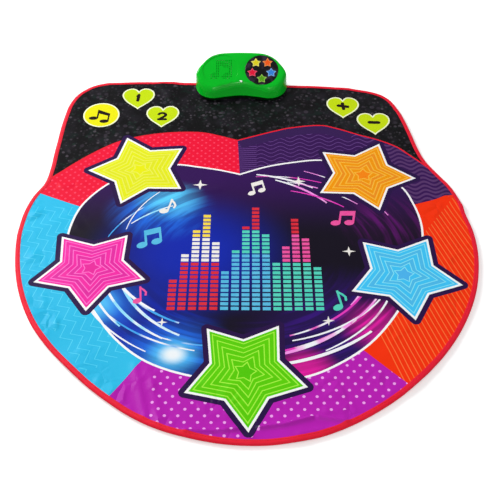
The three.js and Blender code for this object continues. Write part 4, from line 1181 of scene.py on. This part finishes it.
symbols = {  # millimetres from the key's middle
    "note": [
        ovalLoop(20, 12.5, 3, 28) + (-16.8, -12), ovalLoop(20.5, 12.5, 3, 28) + (8.4, -22.2),
        np.array(((-9.6, -12), (-6, -12), (-5.4, 16), (-9.2, 19))),
        np.array(((14.8, -22), (18.6, -22), (19.6, 4), (15.8, 4))),
        np.array(((-8.6, 6.4), (19, -4), (19.4, 5.4), (-9, 19.4))),
    ],
    "one": [strokeLoop(((-0.4, -7), (0.4, 14.2)), 7.6), strokeLoop(((0, 13.6), (-3.4, 9.4)), 4.4)],
    "two": [strokeLoop([(8 * math.cos(a) - 1, 7 * math.sin(a) + 6.4) for a in np.linspace(2.75, -0.75, 14)]
                       + [(-7.6, -9.4)], 7), strokeLoop(((-8, -9.4), (7.6, -9)), 7.4)],
    "plus": [strokeLoop(((-10, 7.4), (10, 3.4)), 9.6), strokeLoop(((-0.6, 15), (0.8, -5)), 8)],
    "minus": [strokeLoop(((-9, 4.8), (10.6, 4.2)), 10)],
}
keyRim = 3.2


def keyPad(name):
    loop = keyLoops[name]
    middle = middleOf(f"key_pad_{name}")
    fill = 3 if name == "note" else 0
    marks = [shape + middle for shape in symbols[name]]
    regions = [([loop], 1), ([shrunk(loop, keyRim)], fill), (marks, 2)]
    piece = slab(f"key_{name}", loop, sheetBottom, sheetTop, keyInks, regions=regions, spacing=7)
    laidSheet(piece, f"key_{name}", "key", loop, (), ["foam_layer"], f"key_pad_{name}")
    carbonLayer("key", name)


for name in starNames:
    starPad(name)
for name in keyNames:
    keyPad(name)
print("pads and keys made")

tape = {
    "width": 10, "thick": 0.8, "inner": 1.6, "dome": 0.15, "corner": 7, "pucker": (7.5, 0.22),
    "stitch": (3.1, 4.2, 0.6, 0.3), "stitchInset": 7.2,  # length, pitch, width and how far it stands out
}


def tapeSection():  # inset and height pairs, from the inner edge on top round to the inner edge below
    _, top = levelsOf("edge_binding")
    half, width, thick, inner, over = top / 2, tape["width"], tape["thick"], tape["inner"], sheetTop + 0.1
    angles = np.linspace(math.pi / 2, -math.pi / 2, tape["corner"])
    nose = [(half - half * math.cos(a) * 0.9, half + half * math.sin(a)) for a in angles]
    upper = [(width, top - 0.25), (width * 0.8, top), (width * 0.55, top + tape["dome"])]
    lower = [(width * 0.6, 0), (width, 0)]
    back = [(width, thick), (inner, thick), (inner, over), (width, over)]
    return [*upper, *nose, *lower, *back]


def sewnRow(line, level):  # one stitch after another along a closed line, as flat blocks
    length, pitch, width, rise = tape["stitch"]
    run = np.linalg.norm(line - np.roll(line, 1, 0), axis=1).sum()
    spots = evenly(line, int(run / pitch))
    way = unit(np.roll(spots, -1, 0) - np.roll(spots, 1, 0))
    side = -toRight(way)
    heights = level + liftAt(spots)
    signs = ((-1, -1), (1, -1), (1, 1), (-1, 1))
    corners = [
        toPart(spots + way * (a * length * share / 2) + side * (b * width * share / 2), heights + up)
        for share, up in ((1, -0.2), (0.8, rise)) for a, b in signs
    ]
    block = ((4, 5, 6, 7), (0, 1, 5, 4), (1, 2, 6, 5), (2, 3, 7, 6), (3, 0, 4, 7), (3, 2, 1, 0))
    faces = [[k * 8 + corner for corner in face] for k in range(len(spots)) for face in block]
    return np.stack(corners, 1).reshape(-1, 3), faces


def edgeBinding():
    loop = turnLeft(evenly(matLoop, 900))
    run = np.arange(len(loop)) * np.linalg.norm(loop[1] - loop[0])
    length, height = tape["pucker"]
    pucker = np.array([noise.noise(Vector((r / length, 7.0, 0))) for r in run]) * height
    rings = []
    for inset, level in tapeSection():
        spots = growLoop(loop, -inset)
        rings.append(toPart(spots, level + liftAt(spots) + (pucker if level > sheetTop + 0.2 else 0)))
    skin = Skin()
    skin.rings([*rings, rings[0]], outwards=False)
    _, top = levelsOf("edge_binding")
    skin.add(*sewnRow(growLoop(loop, -tape["stitchInset"]), top + 0.1), 1)
    piece = skin.piece("edge_tape", [finishOf["binding"], finishOf["thread"]], 60)
    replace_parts(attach(piece, "mat"), "edge_binding")


edgeBinding()
print("binding made")


# Control box

box = {
    "reach": 71.9, "deckFront": 30.6, "tilt": 25, "split": 15.2, "wall": 2.4, "rim": 7, "rimSteps": 9,
    "draft": (22, 2, 13),  # front, side, rear, in degrees
    "shares": ((0, 0.1), (0.35, 0.052), (0.63, 0), (0.81, 0.06), (0.93, 0.185), (1, 0.4), (0.975, 0.55),
               (0.885, 0.7), (0.725, 0.865), (0.52, 0.965), (0.25, 0.995), (0, 1)),
    "around": 220, "deckAxis": 58, "speakerSide": -48.5, "windowSide": 47.5,
    "recess": (40.5, 0.9), "edge": 0.5, "windowEdge": 0.6, "round": 96,
    "window": (38.6, 1.6, 0.3, 1.5),  # radius, thickness, gap, floor under it
    "lightHole": 4, "lensRing": 23, "lens": (12.4, 6.9), "pilot": (28.5, 2.6),
}
tilt = math.radians(box["tilt"])
topLow, topHigh = ((corner - matMiddle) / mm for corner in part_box("top_shell"))
boxAxis = (topLow.x + topHigh.x) / 2
boxFront = (matHigh - matMiddle).y / mm - box["reach"]


def boxOutline(count):
    right = np.array(box["shares"])
    left = right[1:-1][::-1] * (-1, 1)
    loop = evenly(spline(np.vstack((right, left)), 24, True), count)
    low, high = loop.min(0), loop.max(0)
    place = (loop - low) / (high - low)
    return turnLeft(place * (topHigh.x - topLow.x, topHigh.y - topLow.y) + (topLow.x, topLow.y))


def deckLevel(y):
    return box["deckFront"] + (y - boxFront) * math.tan(tilt)


def boxRings(inset):  # leaning wall, rounded rim
    outline = boxOutline(box["around"])
    _, _, normals, _ = outward(outline)
    front, side, rear = box["draft"]
    drop, rounding = inset / math.cos(tilt), box["rim"] - inset
    toward = np.where(normals[:, 1] < 0, front, rear)
    lean = np.tan(np.radians(side + (toward - side) * abs(normals[:, 1])))
    foot = outline - normals * inset
    rise = (deckLevel(foot[:, 1]) - drop - box["split"]) / (1 + normals[:, 1] * lean * math.tan(tilt))
    straight = rise - rounding

    def along(height, extra):
        return foot - normals * (lean * height + extra)[:, None]
    rings = [toPart(along(straight * share, np.zeros(len(foot))), box["split"] + straight * share)
             for share in np.linspace(0, 1, 5)]
    for angle in np.linspace(0, math.pi / 2, box["rimSteps"] + 1)[1:]:
        turnedIn = np.full(len(foot), rounding * (1 - math.cos(angle)))
        spots = along(straight + rounding * math.sin(angle), turnedIn)
        rings.append(toPart(spots, deckLevel(spots[:, 1]) - drop - rounding * (1 - math.sin(angle))))
    return rings


def onDeck(flat, lift):  # deck places (across, up the slope) and height over the deck, to the frame
    flat = np.asarray(flat, float)
    lifts = np.broadcast_to(lift, len(flat))
    y = boxFront + flat[:, 1] * math.cos(tilt) - lifts * math.sin(tilt)
    z = box["deckFront"] + flat[:, 1] * math.sin(tilt) + lifts * math.cos(tilt)
    return toPart(np.column_stack((boxAxis + flat[:, 0], y)), z)


def toDeck(points, lift=0.0):  # frame points on the deck, back to deck places
    y = (points[:, 1] - matMiddle.y) / mm - boxFront + lift * math.sin(tilt)
    return np.column_stack(((points[:, 0] - matMiddle.x) / mm - boxAxis, y / math.cos(tilt)))


def disc(radius, across, up, count):
    return ovalLoop(2 * radius, 2 * radius, 0, count) + (across, up)


grille = {
    "pitch": 4.2, "hole": 2.0, "size": (51, 53),
    "stems": ((0.27, 0.42), (0.84, 1)), "foot": 0.17, "beam": (0.7, -0.05),  # shares of the width and height
    "heads": ((0.22, 0.17), (0.79, 0.17)), "head": (0.22, 0.17),
}


def grilleHoles():  # square holes that fall inside a beamed note
    wide, tall = grille["size"]
    pitch, (beamLevel, beamLean), (headWide, headTall) = grille["pitch"], grille["beam"], grille["head"]
    columns, rows = int(wide / pitch), int(tall / pitch)
    holes = []
    for row in range(rows + 1):
        for column in range(columns + 1):
            across, up = column / columns, row / rows
            stem = up > grille["foot"] and any(low <= across <= high for low, high in grille["stems"])
            beam = up >= beamLevel + beamLean * across and across >= grille["stems"][0][0]
            offsets = [((across - x) / headWide, (up - y) / headTall) for x, y in grille["heads"]]
            head = any(math.hypot(*offset) <= 1 for offset in offsets)
            if stem or beam or head:
                x = box["speakerSide"] + (column - columns / 2) * pitch
                y = box["deckAxis"] + (row - rows / 2) * pitch
                half = grille["hole"] / 2
                holes.append(boxLoop(x - half, y - half, x + half, y + half))
    return holes


def lensMiddles():
    places, reach = {}, box["lensRing"]
    for k, name in enumerate(("green", "pink", "yellow", "orange", "blue")):
        angle = -math.pi / 2 - k * full / 5
        across, up = reach * math.cos(angle), reach * math.sin(angle)
        places[name] = (box["windowSide"] + across, box["deckAxis"] + up)
    return places


def rounded(edge):  # places along a small rounded edge, counted both ways from its corner
    return [(edge * (1 - math.sin(a)), edge * (1 - math.cos(a))) for a in np.linspace(0, math.pi / 2, 5)]


def topShell():
    skin = Skin()
    outer, inner = boxRings(0), boxRings(box["wall"])
    skin.rings(outer)
    skin.rings(inner, outwards=False)
    skin.rings([inner[0], outer[0]])
    speaker, window = (box["speakerSide"], box["deckAxis"]), (box["windowSide"], box["deckAxis"])
    recess, depth = box["recess"]
    edge, count, wall = box["edge"], box["round"], box["wall"]
    glass, thick, gap, floor = box["window"]
    seat, seatDepth = glass + gap, thick + gap
    pilotUp, pilotRadius = box["pilot"]
    pilotHole = pilotRadius + gap
    square = grilleHoles()
    lights = [disc(box["lightHole"], *place, 24) for place in lensMiddles().values()]
    openings = (  # radius, place, corners round it, depth
        (recess, speaker, count, depth), (seat, window, count, seatDepth),
        (pilotHole, (0, pilotUp), 32, wall),
    )
    wide = [disc(radius + edge, *place, around) for radius, place, around, _ in openings]
    skin.deck(toDeck(outer[-1]), wide, 0.0, spacing=9)
    for radius, place, around, down in openings:
        lip = [onDeck(disc(radius + out, *place, around), -low) for out, low in rounded(edge)]
        skin.rings([*lip, onDeck(disc(radius, *place, around), -down)])
    skin.deck(disc(recess, *speaker, count), square, -depth)
    for loop in square:
        skin.rings([onDeck(loop, -depth), onDeck(loop, -wall)])
    skin.deck(disc(seat, *window, count), lights, -seatDepth)
    seatFloor = seatDepth + floor
    for loop in lights:
        skin.rings([onDeck(loop, -seatDepth), onDeck(loop, -seatFloor)])
    boss = disc(seat + wall, *window, count)
    skin.rings([onDeck(boss, -wall), onDeck(boss, -seatFloor)][::-1])
    skin.deck(boss, lights, -seatFloor, up=False)
    skin.deck(toDeck(inner[-1], -wall), [*square, boss, disc(pilotHole, 0, pilotUp, 32)], -wall, up=False)
    piece = skin.piece("top_housing", [finishOf["shell"]])
    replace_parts(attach(piece, "mat"), "top_shell")


topShell()
print("top housing made")


def starPoints(radius, notch, turn=90):
    angle = math.radians(turn) + np.arange(10) * math.pi / 5
    reach = np.where(np.arange(10) % 2, notch, radius)
    return np.column_stack((np.cos(angle) * reach, np.sin(angle) * reach))


def windowDisc():
    skin = Skin()
    glass, thick, gap, _ = box["window"]
    place, count, edge = (box["windowSide"], box["deckAxis"]), box["round"], box["windowEdge"]
    holes = [growLoop(starPoints(*box["lens"]), gap) + spot for spot in lensMiddles().values()]
    bends = [(glass - inwards, -down) for down, inwards in rounded(edge)]
    profile = [(glass, -thick), *bends]
    skin.rings([onDeck(disc(radius, *place, count), lift) for radius, lift in profile])
    flat = disc(glass - edge, *place, count)
    skin.deck(flat, holes, 0.0)
    skin.deck(disc(glass, *place, count), holes, -thick, up=False)
    for loop in holes:
        skin.rings([onDeck(loop, 0.0), onDeck(loop, -thick)])
    piece = skin.piece("smoked_window", [finishOf["window"]])
    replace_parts(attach(piece, "mat"), "window_plate")


lensTones = {  # face, and a lighter edge tone that is a painted highlight
    "yellow": ((232, 216, 22), (246, 240, 120)), "orange": ((250, 92, 12), (255, 160, 90)),
    "pink": ((232, 8, 56), (250, 90, 120)), "blue": ((52, 132, 224), (130, 190, 250)),
    "green": ((86, 166, 14), (160, 214, 90)),
}


def starLens(name, place):
    skin = Skin()
    _, thick, _, _ = box["window"]
    star = starPoints(*box["lens"])
    steps = ((0, -thick), (0, 0.25), (0.25, 0.5), (1.3, 0.55), (1.6, 0.3))  # inset and height
    loops = [growLoop(star, -inset) + place for inset, _ in steps]
    rings = [onDeck(loop, lift) for loop, (_, lift) in zip(loops, steps)]
    # the sides and the raised rim take the lighter edge tone, a painted highlight
    skin.rings(rings[:4], 1)
    skin.rings(rings[3:], 1)
    skin.deck(loops[-1], (), steps[-1][1])
    skin.deck(loops[0], (), -thick, up=False)
    parts = zip(("", "_edge"), lensTones[name])
    tones = [moulded(f"lens_{name}{part}", tone, tone, 0.12, gloss=0.35) for part, tone in parts]
    piece = skin.piece(f"lens_{name}", tones, 25)
    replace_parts(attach(piece, "mat"), f"light_lens_{name}")


windowDisc()
for name, place in lensMiddles().items():
    starLens(name, place)
print("window and lights made")


# Finishes of the nodes that stay

keptNodes = {
    "base": ("base_shell", "battery_door"), "rubber": ("foot_left", "foot_right"),
    "film": ("ribbon_tail",), "pilot": ("pilot_lens",), "board": ("circuit_board",),
    "cone": ("speaker_cone",), "magnet": ("speaker_magnet",), "knob": ("switch_knob",),
    "cell": [f"battery_cell_{k}" for k in range(1, 5)],
    "steel": (
        "clamp_plate", "speaker_frame", "contact_strip_left", "contact_plate_front", "contact_plate_rear",
        "door_screw", "switch_body",
        *(f"case_screw_{depth}_{side}" for depth in ("front", "rear") for side in ("left", "right")),
    ),
}
for kind, nodes in keptNodes.items():
    for node in nodes:
        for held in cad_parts[node].material_slots:
            held.material = finishOf[kind]
print("finishes of the other nodes given")


# Floor and light

studio = {
    "floor": 12.0, "floorDrop": 0.0004, "floorGlow": 0.62, "nearGlow": 0.42, "farFloor": (1100, 3000),
    "world": 0.38,
    "lamps": (  # place in metres, size, power
        ((-1.8, 1.4, 1.7), 1.2, 57),
        ((0.5, -2.0, 2.4), 2.4, 14),
        ((0.05, -1.3, 2.6), 0.16, 8),
    ),
}


def floorFinish():
    finish = Finish("floor")
    rays = [f"Is {kind} Ray" for kind in ("Camera", "Glossy", "Transmission")]
    seen, glossy, through = (finish.node("ShaderNodeLightPath", {}, {}, ray) for ray in rays)
    straight = (seen + glossy + through).clamped()
    ink = finish.tones(straight, (216, 216, 216), (255, 255, 255))
    x, y, _ = finish.split(finish.place())
    far = finish.away(x, y).smooth(*studio["farFloor"])
    near, strength = studio["nearGlow"], studio["floorGlow"]
    glow = finish.tones(straight * (near + far * (1 - near)), (0, 0, 0), (255, 255, 255))
    return finish.surface(Base_Color=ink, Roughness=0.9, Emission_Color=glow, Emission_Strength=strength)


def studioFloor():
    half = studio["floor"]
    corners = [(x, y, -studio["floorDrop"]) for x, y in boxLoop(-half, -half, half, half)]
    addPiece("floor", corners, [(0, 1, 2, 3)], [floorFinish()])


def studioLight():
    world = bpy.data.worlds.new("studio")
    bpy.context.scene.world = world
    world.use_nodes = True
    tree = world.node_tree
    tree.nodes.clear()
    path = tree.nodes.new("ShaderNodeLightPath")
    ground = tree.nodes.new("ShaderNodeBackground")
    ground.inputs["Color"].default_value = (1, 1, 1, 1)
    fill = tree.nodes.new("ShaderNodeMix")
    fill.inputs["A"].default_value, fill.inputs["B"].default_value = studio["world"], 1.0
    tree.links.new(path.outputs["Is Camera Ray"], fill.inputs["Factor"])
    tree.links.new(fill.outputs[0], ground.inputs["Strength"])
    output = tree.nodes.new("ShaderNodeOutputWorld")
    tree.links.new(ground.outputs[0], output.inputs["Surface"])
    for k, (place, size, power) in enumerate(studio["lamps"]):
        lamp = bpy.data.lights.new(f"lamp_{k + 1}", "AREA")
        lamp.shape, lamp.size, lamp.energy = "DISK", size, power
        held = bpy.data.objects.new(f"lamp_{k + 1}", lamp)
        bpy.context.scene.collection.objects.link(held)
        held.location = place
        held.rotation_euler = (-Vector(place)).to_track_quat("-Z", "Y").to_euler()


studioFloor()
studioLight()
